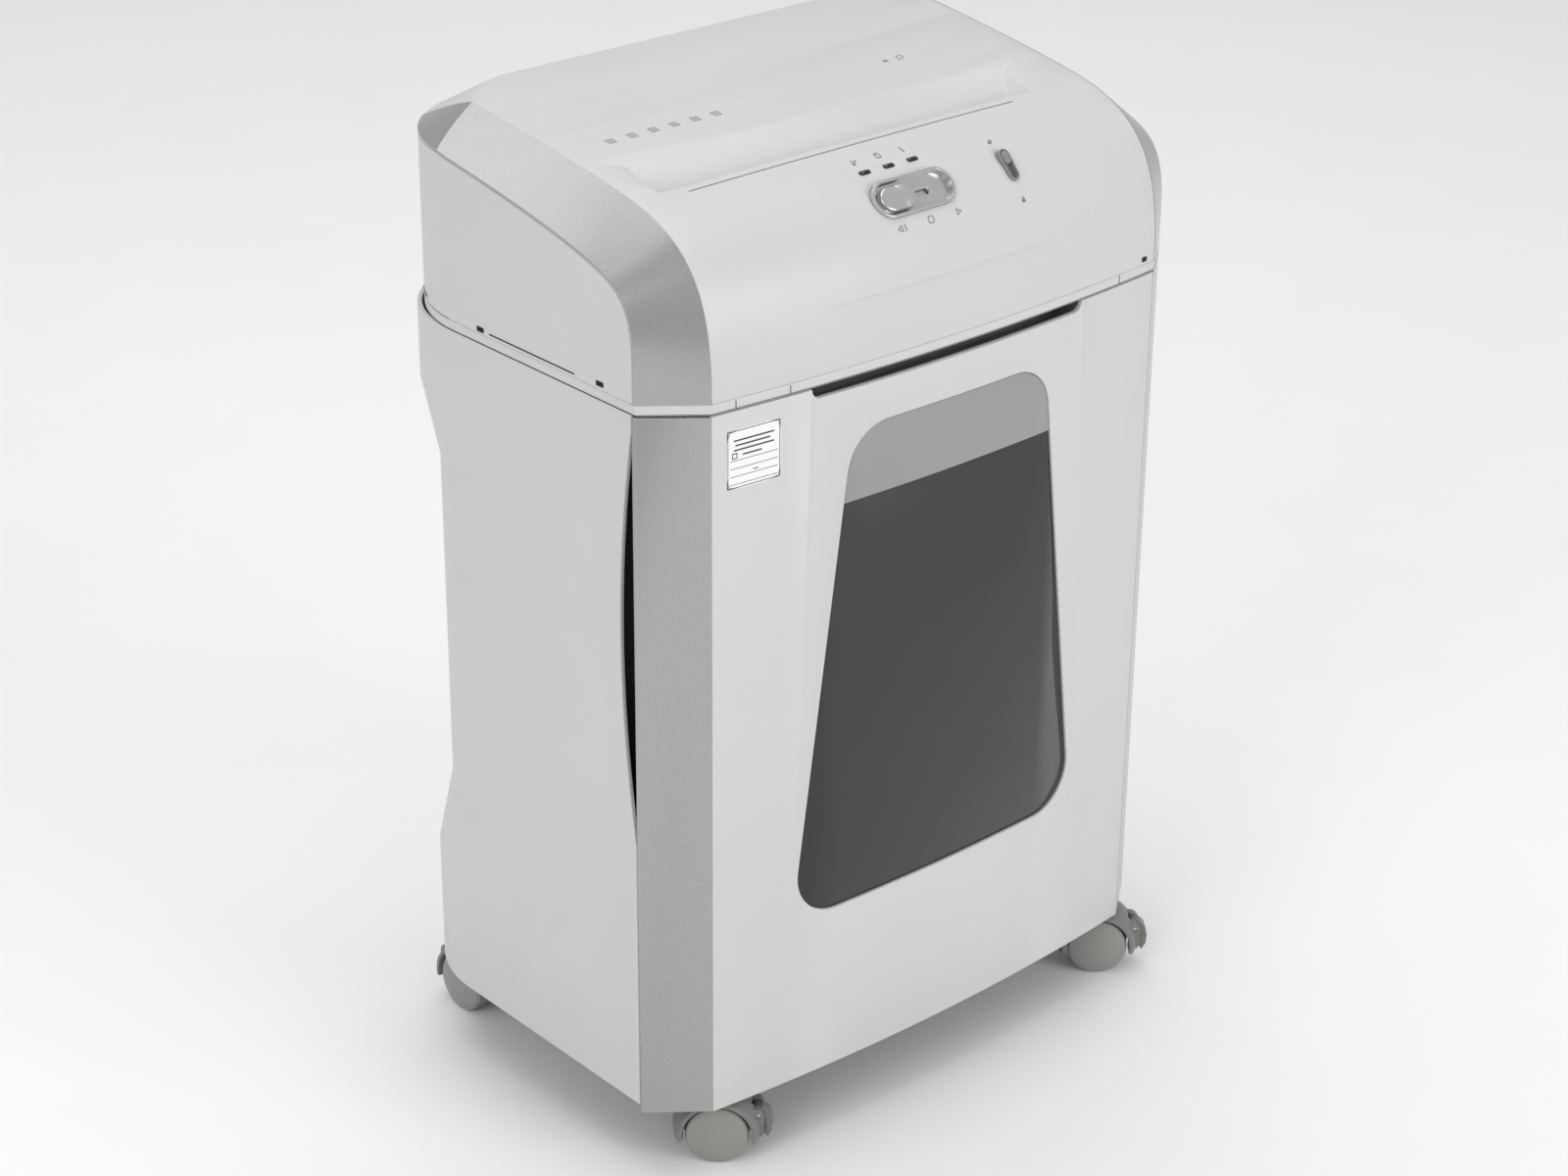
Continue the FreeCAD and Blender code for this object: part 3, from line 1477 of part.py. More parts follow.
def caster_wheels():
    """Two wheels with rounded treads and crowned outer faces, each blind-bored for the axle."""
    radius = size("wheel_radius")
    inner_face = web_half + size("wheel_side_gap")
    rim = inner_face + size("wheel_width")
    crown = rim + size("wheel_crown")
    edge = size("tread_rounding")
    cap = size("wheel_cap_radius")
    bore = size("axle_radius") + size("running_clearance")
    bore_end = web_half + axle_reach + 0.4
    outline = [
        line((0, bore_end, 0), (bore, bore_end, 0)),
        line((bore, bore_end, 0), (bore, inner_face, 0)),
        line((bore, inner_face, 0), (radius - edge, inner_face, 0)),
        line((radius - edge, inner_face, 0), (radius, inner_face + edge, 0)),
        line((radius, inner_face + edge, 0), (radius, rim - edge, 0)),
        line((radius, rim - edge, 0), (radius - edge, rim, 0)),
        arc((radius - edge, rim, 0), (radius * 0.55, rim + size("wheel_crown") * 0.72, 0), (cap, crown, 0)),
        line((cap, crown, 0), (0, crown, 0)),
        line((0, crown, 0), (0, bore_end, 0)),
    ]
    wheel = Part.Face(edges_to_wire(outline)).revolve(Vector(), Vector(0, 1, 0), 360)
    wheels = []
    for turn in (0, 180):
        turned = wheel.copy()
        turned.rotate(Vector(), Vector(0, 0, 1), turn)
        turned.translate(Vector(trail, 0, axle_z))
        wheels.append(turned)
    return Part.makeCompound(wheels)


def brake_lever():
    """A curved tab that hangs over the tail of the hood."""
    px, pz = brake_pivot
    outline = [
        (px - 2.0, pz + 2.6), (px + 2.2, pz + 3.0), (px + 5.8, pz - 0.4), (px + 7.4, pz - 6.0),
        (px + 7.0, pz - 11.5), (px + 4.9, pz - 15.6), (px + 2.6, pz - 13.0), (px + 3.2, pz - 9.0),
        (px + 2.3, pz - 3.2), (px - 1.8, pz - 2.4),
    ]
    wire = Part.makePolygon([Vector(x, -brake_half, z) for x, z in outline + outline[:1]])
    tab = prism(wire, (0, 2 * brake_half, 0))
    return tab.cut(axle_cylinder(brake_pin_radius + size("running_clearance"), 30, *brake_pivot))


FRONT_HEADING = -41.5
REAR_HEADING = 90.0

for corner, (caster_x, caster_y) in caster_places.items():
    front = corner.startswith("front")
    heading = FRONT_HEADING if front else REAR_HEADING
    pieces = [("caster_hood_", caster_hood(front)), ("caster_pins_", caster_pins(front)),
              ("caster_wheels_", caster_wheels())]
    if front:
        pieces.append(("caster_brake_", brake_lever()))
    for prefix, shape in pieces:
        shape = shape.copy()
        shape.rotate(Vector(), Vector(0, 0, 1), heading)
        shape.translate(Vector(caster_x, caster_y, 0))
        shape_node(prefix + corner, shape)


# ---------------------------------------------------------------- bin

panel_low = ground_gap
panel_high = seam - size("seam_gap")
panel_thick = size("panel_thickness")
window_foot = size("window_foot")
window_head = seam - size("window_head_drop")
window_split = seam - size("window_split_drop")
tub_head = seam - size("tub_head_drop")


def bow_arc(depth, z, reach=None):
    """The front's bow, set back by a depth, between the two corner edges."""
    half = reach if reach is not None else inner_half
    radius = (inner_half ** 2 + front_bow ** 2) / (2 * front_bow)
    centre_y = radius - front_bow
    inner_radius = radius - depth
    side_y = centre_y - math.sqrt(inner_radius ** 2 - half ** 2)
    return (-half, side_y, z), (0, centre_y - inner_radius, z), (half, side_y, z)


def bow_band(front_depth, back_depth, low, high, reach=None):
    """A bowed sheet between two depths behind the front."""
    outer = bow_arc(front_depth, low, reach)
    inner = bow_arc(back_depth, low, reach)
    wire = edges_to_wire([arc(*outer), line(outer[2], inner[2]), arc(*inner), line(inner[0], outer[0])])
    return prism(wire, (0, 0, high - low))


def window_half(z):
    rise = (z - window_foot) / (window_head - window_foot)
    return size("window_foot_half") + (size("window_head_half") - size("window_foot_half")) * rise


def window_tool(gap, low=None, high=None):
    """A prism of the window's outline along Y: a trapezium with round corners."""
    foot = window_foot + gap
    head = window_head - gap
    corners = [(-window_half(foot) + gap, foot), (window_half(foot) - gap, foot),
               (window_half(head) - gap, head), (-window_half(head) + gap, head)]
    wire = Part.makePolygon([Vector(x, -40, z) for x, z in corners + corners[:1]])
    tool = prism(wire, (0, 80, 0))
    upright = [edge for edge in tool.Edges if edge.BoundBox.YLength > 70]
    tool = tool.makeFillet(size("window_corner") - gap, upright)
    if low is not None:
        tool = tool.common(Part.makeBox(2 * half_width, 80, high - low, Vector(-half_width, -40, low)))
    return tool


def pull_tool():
    """The finger recess in the top edge of the front panel, sloping inwards."""
    half = size("pull_half")
    height = size("pull_height")
    points = [(-40, panel_high - height - 2.0), (10, panel_high - height + 2.0),
              (10, panel_high + 5), (-40, panel_high + 5)]
    block = x_prism(points, -half, 2 * half)
    ends = [edge for edge in block.Edges
            if edge.BoundBox.XLength < 1 and edge.BoundBox.ZMax < panel_high and edge.BoundBox.YLength > 10]
    return block.makeFillet(5.0, ends)


tub_front = 4.2
screw_boss_radius = 4.0
screw_side_inset = 25.0
screw_foot_rise = 60.0
screw_head_drop = 35.0
tub_half = half_width - size("tub_side_gap")
bin_screw_places = [(x, z) for x in (screw_side_inset - tub_half, tub_half - screw_side_inset)
                    for z in (panel_low + screw_foot_rise, panel_high - screw_head_drop)]


def bin_front_panel():
    panel = bow_band(0.0, panel_thick, panel_low, panel_high)
    panel = panel.fuse([y_cylinder(screw_boss_radius, x, z, 0.0, tub_front) for x, z in bin_screw_places])
    holes = [y_cylinder(size("screw_radius"), x, z, 1.0, tub_front + 1) for x, z in bin_screw_places]
    return panel.cut([window_tool(0.0), pull_tool()] + holes)


shape_node("bin_front_panel", bin_front_panel())


def bin_trim(way):
    """The metallic corner: the bevel and a short return along the side."""
    corner = inner_half
    cut_y = size("corner_cut_back")
    wrap = size("side_edge") + size("trim_wrap")
    thick = panel_thick
    inner_arc_y = bow_arc(thick, 0)[2][1]
    side_y = size("side_edge") - size("trim_gap")
    tongue = half_width - size("cabinet_wall") - size("trim_gap")
    inside = half_width - thick - 1.6
    points = [(corner, 0), (half_width, cut_y), (half_width, side_y), (tongue, side_y), (tongue, wrap),
              (inside, wrap), (inside, cut_y + 1.2), (corner, inner_arc_y)]
    wire = Part.makePolygon([Vector(way * x, y, panel_low) for x, y in points + points[:1]])
    return prism(wire, (0, 0, panel_high - panel_low))


shape_node("bin_trim_left", bin_trim(-1))
shape_node("bin_trim_right", bin_trim(1))


def window_part(sink, low, high):
    """A filling of the window opening, set back from the front, with a flange behind."""
    clear = size("window_clearance")
    reach = size("window_foot_half") + 20
    front = bow_band(sink, panel_thick, panel_low, panel_high, reach).common(window_tool(clear, low, high))
    flange = bow_band(panel_thick, panel_thick + size("flange_thickness"), panel_low, panel_high, reach)
    flange = flange.common(window_tool(-size("flange_reach"), low, high))
    return front.fuse(flange)


shape_node("window_header", window_part(size("header_sink"), window_split, seam))
shape_node("window_pane", window_part(size("pane_sink"), 0, window_split))


def tub_wires(inset, low, high):
    """The tub's plan at its foot and head; its back wall slopes forward to the foot."""
    front = tub_front + inset
    half = tub_half - inset
    wires = []
    for z in (low, high):
        radius = size("tub_radius") - inset
        share = (z - tub_foot) / (tub_head - tub_foot)
        back = size("tub_back_foot") + (size("tub_back_head") - size("tub_back_foot")) * share
        wires.append(rounded_rectangle(-half, front, half, back - inset, radius, z))
    return wires


def bin_tub():
    thick = size("tub_wall")
    outer = Part.makeLoft(tub_wires(0.0, tub_foot, tub_head), True, True)
    inner = Part.makeLoft(tub_wires(thick, tub_foot + thick, tub_head + 10), True, True)
    front_zone = Part.makeBox(2 * half_width, 20, seam, Vector(-half_width, -13, 0))
    window = window_tool(-size("flange_reach")).common(front_zone)
    holes = [y_cylinder(size("screw_radius"), x, z, 0.0, 10.0) for x, z in bin_screw_places]
    return largest(outer.cut([inner, window] + holes))


shape_node("bin_tub", bin_tub())


def bin_pull():
    """The trough behind the panel's top edge that fingers reach into."""
    half = size("pull_half")
    base = panel_high - size("pull_height") - 4.0
    depth = size("pull_depth")
    outer = x_prism([(-4.6, base - 6), (depth, base - 6), (depth, panel_high), (depth - 2, panel_high),
                     (depth - 2, base - 3.5), (-4.6, base + 2.2)], -half - 2, 2 * half + 4)
    ends = [Part.makeBox(2, depth + 1.0, panel_high - base + 6, Vector(x, -1.0, base - 6))
            for x in (-half - 2, half)]
    behind_panel = bow_band(panel_thick, panel_thick + 60, panel_low, panel_high)
    return largest(outer.fuse(ends).common(behind_panel))


shape_node("bin_pull", bin_pull())


# ---------------------------------------------------------------- screws

screw_head_height = 1.8
recess_radius = 0.9
recess_depth = 1.0
bin_screw_length = 5.0
cover_screw_length = 8.0


def screw(place, length, axis):
    """A pan-head screw with a round drive recess; its head's underside is at the place."""
    axis = Vector(*axis)
    place = Vector(*place)
    shank = Part.makeCylinder(size("screw_radius"), length, place, axis)
    head = Part.makeCylinder(size("screw_head_radius"), screw_head_height,
                             place - axis * screw_head_height, axis)
    recess = Part.makeCylinder(recess_radius, recess_depth, place - axis * screw_head_height, axis)
    return shank.fuse(head).cut(recess)


tub_inside = tub_front + size("tub_wall")
shape_node("bin_screws", Part.makeCompound(
    [screw((x, tub_inside, z), bin_screw_length, (0, -1, 0)) for x, z in bin_screw_places]))
shape_node("cover_screws", Part.makeCompound(
    [screw((x, head_back - screw_sink, z), cover_screw_length, (0, -1, 0)) for x, z in cover_screw_places]))


def finish():
    """Recomputes the document, checks every object and writes each sub-part."""
    doc.recompute()
    for thing in doc.Objects:
        if "Invalid" in thing.State or "Error" in thing.State:
            raise RuntimeError("%s failed to recompute" % thing.Label)
    for thing in NODES:
        if thing.Shape.isNull() or not thing.Shape.isValid() or not thing.Shape.Solids:
            raise RuntimeError("%s has no valid solid" % thing.Label)
    os.makedirs("parts", exist_ok=True)
    for thing in NODES:
        thing.Shape.exportStep("parts/%s.step" % thing.Label)
    print("%d nodes written" % len(NODES))


finish()
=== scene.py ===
import json
import math

import bpy
from mathutils import Matrix, Vector


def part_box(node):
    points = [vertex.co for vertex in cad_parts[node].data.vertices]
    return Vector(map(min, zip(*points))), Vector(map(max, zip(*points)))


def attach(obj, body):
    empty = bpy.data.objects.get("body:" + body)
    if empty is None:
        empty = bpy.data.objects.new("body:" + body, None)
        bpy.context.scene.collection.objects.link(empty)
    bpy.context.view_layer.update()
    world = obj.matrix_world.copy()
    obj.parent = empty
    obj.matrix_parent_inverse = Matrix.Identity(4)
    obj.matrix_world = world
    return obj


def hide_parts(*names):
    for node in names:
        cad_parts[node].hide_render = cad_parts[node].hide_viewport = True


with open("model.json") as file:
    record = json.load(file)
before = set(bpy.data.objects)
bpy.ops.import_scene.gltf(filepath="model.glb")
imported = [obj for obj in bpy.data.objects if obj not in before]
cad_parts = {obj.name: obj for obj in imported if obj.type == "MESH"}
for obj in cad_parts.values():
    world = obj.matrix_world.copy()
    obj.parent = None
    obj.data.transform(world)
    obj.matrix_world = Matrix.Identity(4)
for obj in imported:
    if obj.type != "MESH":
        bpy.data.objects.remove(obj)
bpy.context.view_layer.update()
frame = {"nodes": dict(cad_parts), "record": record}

MM = 0.001
bodies = frame["record"]["behaviour"]["bodies"]
body_of_node = {node: body for body, nodes in bodies.items() for node in nodes}
slot_of_node = {entry["node"]: entry["material_slot"] for entry in frame["record"]["subparts"]}
CORNERS = ("front_left", "front_right", "rear_left", "rear_right")


# ---------------------------------------------------------------- materials

def linear(code):
    """A colour given as sRGB hex, as the linear values that shaders take."""
    channels = [int(code[i:i + 2], 16) / 255 for i in (1, 3, 5)]
    return [c / 12.92 if c <= 0.04045 else ((c + 0.055) / 1.055) ** 2.4 for c in channels] + [1.0]


def every(size):
    """The texture scale at which a pattern repeats about every so many millimetres."""
    return 1.0 / (size * MM)


def add_node(tree, kind, values=None, **settings):
    """Adds a node.  A value is a plain one, or a (node, output) pair to link from."""
    made = tree.nodes.new(kind)
    for name, setting in settings.items():
        setattr(made, name, setting)
    for socket, value in (values or {}).items():
        if isinstance(value, tuple) and isinstance(value[0], bpy.types.Node):
            tree.links.new(value[0].outputs[value[1]], made.inputs[socket])
        else:
            made.inputs[socket].default_value = value
    return made


def start_material(name):
    """A new material with its shader and the object's own coordinates."""
    material = bpy.data.materials.new(name)
    material.use_nodes = True
    tree = material.node_tree
    place = add_node(tree, "ShaderNodeTexCoord")
    return material, tree, tree.nodes["Principled BSDF"], (place, "Object")


def moulded(name, low, high, roughness, grain=0.9, depth=0.012, ior=1.53, coat=0.0):
    """Injection-moulded plastic: a slow drift of tone from one part of the moulding to
    another, a fine spark-eroded grain and a little unevenness in its gloss."""
    material, tree, shader, place = start_material(name)
    drift = add_node(tree, "ShaderNodeTexNoise", {"Vector": place, "Scale": every(90), "Detail": 2.0})
    tint = add_node(tree, "ShaderNodeMix", {0: (drift, 0), 6: linear(low), 7: linear(high)},
                    data_type="RGBA")
    handling = add_node(tree, "ShaderNodeTexNoise", {"Vector": place, "Scale": every(14), "Detail": 5.0})
    gloss = add_node(tree, "ShaderNodeMapRange", {"Value": (handling, 0), "From Min": 0.3, "From Max": 0.7,
                                                  "To Min": roughness - 0.035, "To Max": roughness + 0.035})
    pits = add_node(tree, "ShaderNodeTexNoise", {"Vector": place, "Scale": every(grain), "Detail": 3.0})
    bump = add_node(tree, "ShaderNodeBump", {"Height": (pits, 0), "Distance": depth * MM, "Strength": 1.0})
    tree.links.new(tint.outputs[2], shader.inputs["Base Color"])
    tree.links.new(gloss.outputs[0], shader.inputs["Roughness"])
    tree.links.new(bump.outputs[0], shader.inputs["Normal"])
    shader.inputs["IOR"].default_value = ior
    shader.inputs["Coat Weight"].default_value = coat
    shader.inputs["Coat Roughness"].default_value = 0.12
    return material


def lacquered(name, low, high, roughness, flake=0.7, coat=0.35):
    """Metallic lacquer on plastic: aluminium flakes too fine to count, drawn coarse enough
    to give the slight sparkle, under a clear coat."""
    material, tree, shader, place = start_material(name)
    flakes = add_node(tree, "ShaderNodeTexVoronoi", {"Vector": place, "Scale": every(flake)})
    level = add_node(tree, "ShaderNodeSeparateColor", {0: (flakes, "Color")})
    tint = add_node(tree, "ShaderNodeMix", {0: (level, 0), 6: linear(low), 7: linear(high)},
                    data_type="RGBA")
    orange_peel = add_node(tree, "ShaderNodeTexNoise", {"Vector": place, "Scale": every(3.5), "Detail": 2.0})
    bump = add_node(tree, "ShaderNodeBump", {"Height": (orange_peel, 0), "Distance": 0.002 * MM,
                                             "Strength": 1.0})
    gloss = add_node(tree, "ShaderNodeMapRange", {"Value": (level, 1), "To Min": roughness - 0.04,
                                                  "To Max": roughness + 0.04})
    tree.links.new(tint.outputs[2], shader.inputs["Base Color"])
    tree.links.new(gloss.outputs[0], shader.inputs["Roughness"])
    tree.links.new(bump.outputs[0], shader.inputs["Normal"])
    shader.inputs["Metallic"].default_value = 0.8
    shader.inputs["Coat Weight"].default_value = coat
    shader.inputs["Coat Roughness"].default_value = 0.1
    return material


def worked_metal(name, low, high, roughness, line_length=40.0, line_width=0.5, metallic=1.0, across=0):
    """Sheet or bar metal with the drawn lines of its rolling, turning or grinding, which
    run across one axis of the object."""
    material, tree, shader, place = start_material(name)
    stretch = [every(line_width)] * 3
    stretch[across] = every(line_length)
    spread = add_node(tree, "ShaderNodeMapping", {"Vector": place, "Scale": stretch})
    drawn = add_node(tree, "ShaderNodeTexNoise", {"Vector": (spread, 0), "Scale": 1.0, "Detail": 3.0})
    bloom = add_node(tree, "ShaderNodeTexNoise", {"Vector": place, "Scale": every(9), "Detail": 3.0})
    tint = add_node(tree, "ShaderNodeMix", {0: (bloom, 0), 6: linear(low), 7: linear(high)},
                    data_type="RGBA")
    gloss = add_node(tree, "ShaderNodeMapRange", {"Value": (drawn, 0), "From Min": 0.3, "From Max": 0.7,
                                                  "To Min": roughness - 0.08, "To Max": roughness + 0.08})
    bump = add_node(tree, "ShaderNodeBump", {"Height": (drawn, 0), "Distance": 0.01 * MM, "Strength": 1.0})
    tree.links.new(tint.outputs[2], shader.inputs["Base Color"])
    tree.links.new(gloss.outputs[0], shader.inputs["Roughness"])
    tree.links.new(bump.outputs[0], shader.inputs["Normal"])
    shader.inputs["Metallic"].default_value = metallic
    return material


def smoked_clear(name, low, high, roughness, transmission):
    """Clear styrene with a smoke dye: it darkens what is behind it, and its polished face
    has the faint ripple of a moulded sheet."""
    material, tree, shader, place = start_material(name)
    drift = add_node(tree, "ShaderNodeTexNoise", {"Vector": place, "Scale": every(120), "Detail": 1.0})
    tint = add_node(tree, "ShaderNodeMix", {0: (drift, 0), 6: linear(low), 7: linear(high)},
                    data_type="RGBA")
    ripple = add_node(tree, "ShaderNodeTexNoise", {"Vector": place, "Scale": every(35), "Detail": 1.0})
    bump = add_node(tree, "ShaderNodeBump", {"Height": (ripple, 0), "Distance": 0.03 * MM, "Strength": 1.0})
    tree.links.new(tint.outputs[2], shader.inputs["Base Color"])
    tree.links.new(bump.outputs[0], shader.inputs["Normal"])
    shader.inputs["Roughness"].default_value = roughness
    shader.inputs["IOR"].default_value = 1.59
    shader.inputs["Transmission Weight"].default_value = transmission
    return material


MATERIALS = {
    # satin ABS, faintly warm, which keeps soft highlights on the head's curves
    "white_housing": moulded("moulded_white_abs", "#c3c3c2", "#cacac9", 0.42),
    # aluminium-flake lacquer on the corner strips
    "silver_trim": lacquered("silver_lacquered_abs", "#a6a6a4", "#abaaa9", 0.3, 0.45),
    # the same lacquer, finer and brighter, on the parts that are handled
    "silver_control": lacquered("bright_silver_lacquered_abs", "#c2c2c0", "#c9c9c7", 0.22, 0.4, 0.6),
    # mid-grey ABS of the small lock
    "lock_grey": moulded("moulded_grey_abs", "#7d7d7a", "#878784", 0.38),
    # polished black acrylic over the lamps
    "black_lens": moulded("polished_black_acrylic", "#0b0b0c", "#141415", 0.08, 6.0, 0.004, 1.49),
    # smoke-dyed polystyrene
    "smoke_window": smoked_clear("smoked_clear_styrene", "#3b3f3e", "#434746", 0.03, 0.88),
    # light grey ABS of the header over the window
    "grey_header": moulded("moulded_light_grey_abs", "#8b8c89", "#949592", 0.36),
    # polypropylene of the bin, duller and slightly waxy
    "grey_bin": moulded("moulded_grey_polypropylene", "#6b6e6d", "#767978", 0.46, 1.2, 0.02, 1.49),
    # recycled dark grey ABS inside and under the cabinet
    "base_plastic": moulded("moulded_dark_grey_abs", "#5d5d5c", "#676766", 0.5, 1.1, 0.02),
    # bright zinc plate over rolled sheet
    "plated_steel": worked_metal("zinc_plated_sheet_steel", "#b9bcc0", "#cbced0", 0.34, across=1),
    # hardened steel under a film of oil
    "cutter_steel": worked_metal("oiled_hardened_steel", "#6f6f70", "#8b8b8c", 0.3, 4.0, 0.4, across=0),
    # porous bronze of the bushes
    "sintered_bronze": worked_metal("sintered_bronze", "#8a6b42", "#a5814f", 0.48, 0.9, 0.9),
    # glass-filled black nylon
    "black_nylon": moulded("moulded_black_nylon", "#171717", "#202020", 0.52, 0.8, 0.03, 1.53),
    # natural acetal gears
    "gear_nylon": moulded("natural_acetal", "#e4e1d3", "#edeadd", 0.34, 2.0, 0.006, 1.48),
    # pressed and sintered steel gears
    "gear_steel": worked_metal("sintered_steel", "#7b7b7a", "#8e8e8c", 0.46, 1.0, 1.0),
    # drawn and plated can of the motor
    "motor_steel": worked_metal("drawn_plated_steel", "#9c9ea1", "#b0b2b5", 0.3, 60.0, 0.6, across=0),
    # solder mask over glass laminate, whose weave just shows
    "circuit_board": moulded("green_solder_mask", "#12482a", "#185634", 0.3, 0.9, 0.02, 1.5, 0.3),
    # glass-filled grey nylon of the caster hoods
    "caster_hood_grey": moulded("moulded_grey_nylon", "#6e6e6b", "#777774", 0.42, 0.9, 0.02),
    # slightly lighter grey of the wheels' faces
    "caster_wheel_grey": moulded("moulded_grey_polyamide_tread", "#848481", "#8d8d8a", 0.46, 0.9, 0.02),
    # turned and plated steel pins and screws
    "pin_steel": worked_metal("turned_plated_steel", "#b0b2b4", "#c4c6c8", 0.28, 0.5, 3.0, across=2),
    # natural nylon sleeves
    "socket_nylon": moulded("natural_nylon", "#d3d0c4", "#dedbd0", 0.44, 1.2, 0.01),
}
# painted shade: near-black standing for the shadow inside gaps and slots that light hardly enters
SHADOW = moulded("shadowed_black_gap", "#060606", "#0c0c0c", 0.9, 2.0, 0.01)
# pad-printed grey ink of the signs; the same grey also paints the shade of the steps along the paper entry
GREY_INK_AND_PAINTED_SHADE = moulded("grey_ink_and_painted_entry_shade", "#6f6f6d", "#797977", 0.55, 0.5, 0.004)
# coated label paper and its black print
LABEL_PAPER = moulded("coated_label_paper", "#e9e9e7", "#efefed", 0.5, 0.4, 0.006)
LABEL_INK = moulded("black_label_ink", "#1d1d1d", "#2a2a2a", 0.55, 0.4, 0.004)

for node_name, node_object in frame["nodes"].items():
    node_object.data.materials.clear()
    node_object.data.materials.append(MATERIALS[slot_of_node[node_name]])


# ---------------------------------------------------------------- ways of making

def only(piece):
    """Selects one object and nothing else."""
    bpy.ops.object.select_all(action="DESELECT")
    piece.select_set(True)
    bpy.context.view_layer.objects.active = piece


def apply(piece, kind, name, **settings):
    """Adds a modifier and applies it."""
    only(piece)
    modifier = piece.modifiers.new(name, kind)
    for setting, value in settings.items():
        setattr(modifier, setting, value)
    bpy.ops.object.modifier_apply(modifier=modifier.name)


def settle(piece, name, body, material):
    """Names a finished piece, leaves its place in its mesh and lets it ride on its body."""
    only(piece)
    bpy.ops.object.transform_apply(location=True, rotation=True, scale=True)
    piece.name = name
    piece.data.name = name
    piece.data.materials.clear()
    piece.data.materials.append(material)
    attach(piece, body)
    return piece


def merged_copy(node):
    """A copy of a CAD node with its loose triangles joined into clean faces."""
    only(frame["nodes"][node])
    bpy.ops.object.duplicate()
    piece = bpy.context.object
    for key in list(piece.keys()):
        del piece[key]
    piece.parent = None
    bpy.ops.object.mode_set(mode="EDIT")
    bpy.ops.mesh.select_all(action="SELECT")
    bpy.ops.mesh.remove_doubles(threshold=0.002 * MM)
    bpy.ops.mesh.dissolve_limited(angle_limit=math.radians(0.4))
    bpy.ops.object.mode_set(mode="OBJECT")
    return piece


def finer(node, edge, smooth=30.0):
    """Stands for a CAD node, with its sharp edges rounded as the mould leaves them."""
    piece = merged_copy(node)
    apply(piece, "BEVEL", "edge rounding", width=edge * MM, segments=2, limit_method="ANGLE",
          angle_limit=math.radians(34), use_clamp_overlap=False, miter_outer="MITER_ARC")
    only(piece)
    bpy.ops.object.shade_smooth_by_angle(angle=math.radians(smooth))
    settle(piece, node + "_moulding", body_of_node[node], MATERIALS[slot_of_node[node]])
    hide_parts(node)
    return piece


EDGES = {
    "top_cover": 0.5, "lower_housing": 0.4, "bin_front_panel": 0.5, "cabinet_shell": 0.5,
    "bin_trim_left": 0.5, "bin_trim_right": 0.5,
    "control_bezel": 0.3, "control_slider": 0.15, "lock_bezel": 0.2, "lock_slider": 0.15,
    "window_pane": 0.4, "window_header": 0.25, "bin_tub": 0.5, "bin_pull": 0.4, "indicator_lenses": 0.15,
    "cabinet_base": 0.4,
}
fine = {node: finer(node, edge) for node, edge in EDGES.items()}
for node in ("head_trim_left", "head_trim_right"):
    band = frame["nodes"][node]
    only(band)
    bpy.ops.object.shade_smooth_by_angle(angle=math.radians(24))
for corner in CORNERS:
    fine["caster_hood_" + corner] = finer("caster_hood_" + corner, 0.25)
    fine["caster_wheels_" + corner] = finer("caster_wheels_" + corner, 0.3)
for corner in CORNERS[:2]:
    fine["caster_brake_" + corner] = finer("caster_brake_" + corner, 0.2)


# ---------------------------------------------------------------- details of the surface

cover = fine["top_cover"]
panel = fine["bin_front_panel"]
seam_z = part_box("lower_housing")[0].z
lip_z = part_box("top_cover")[0].z


def on_surface(target, start, towards):
    """Where a line from a point first meets a piece, and which way the surface faces."""
    hit, place, normal, _ = target.ray_cast(Vector(start), Vector(towards).normalized())
    if not hit:
        raise RuntimeError("nothing of %s lies along that line" % target.name)
    return place, normal


def lay_on(piece, target, start, towards, proud=0.03):
    """Puts a flat piece, drawn round the origin with +Y up, on another piece's surface."""
    place, normal = on_surface(target, start, towards)
    across = (Vector((1.0, 0.0, 0.0)) - normal * normal.x).normalized()
    if abs(normal.x) > 0.9:
        across = Vector((0.0, -1.0 if normal.x < 0 else 1.0, 0.0))
    up = normal.cross(across)
    seat = Matrix((across, up, normal)).transposed().to_4x4()
    seat.translation = place + normal * proud * MM
    piece.matrix_world = seat


def bar(width, height, middle=(0.0, 0.0), thick=0.12):
    """A small flat bar with slightly rounded corners, in millimetres."""
    bpy.ops.object.select_all(action="DESELECT")
    bpy.ops.mesh.primitive_plane_add(size=1.0)
    made = bpy.context.object
    made.scale = (width * MM, height * MM, 1.0)
    made.location = (middle[0] * MM, middle[1] * MM, 0.0)
    bpy.ops.object.transform_apply(location=True, rotation=True, scale=True)
    bpy.ops.object.mode_set(mode="EDIT")
    bpy.ops.mesh.select_all(action="SELECT")
    bpy.ops.mesh.bevel(offset=min(width, height) * 0.2 * MM, segments=2, affect="VERTICES")
    bpy.ops.mesh.extrude_region_move(TRANSFORM_OT_translate={"value": (0.0, 0.0, thick * MM)})
    bpy.ops.object.mode_set(mode="OBJECT")
    return made


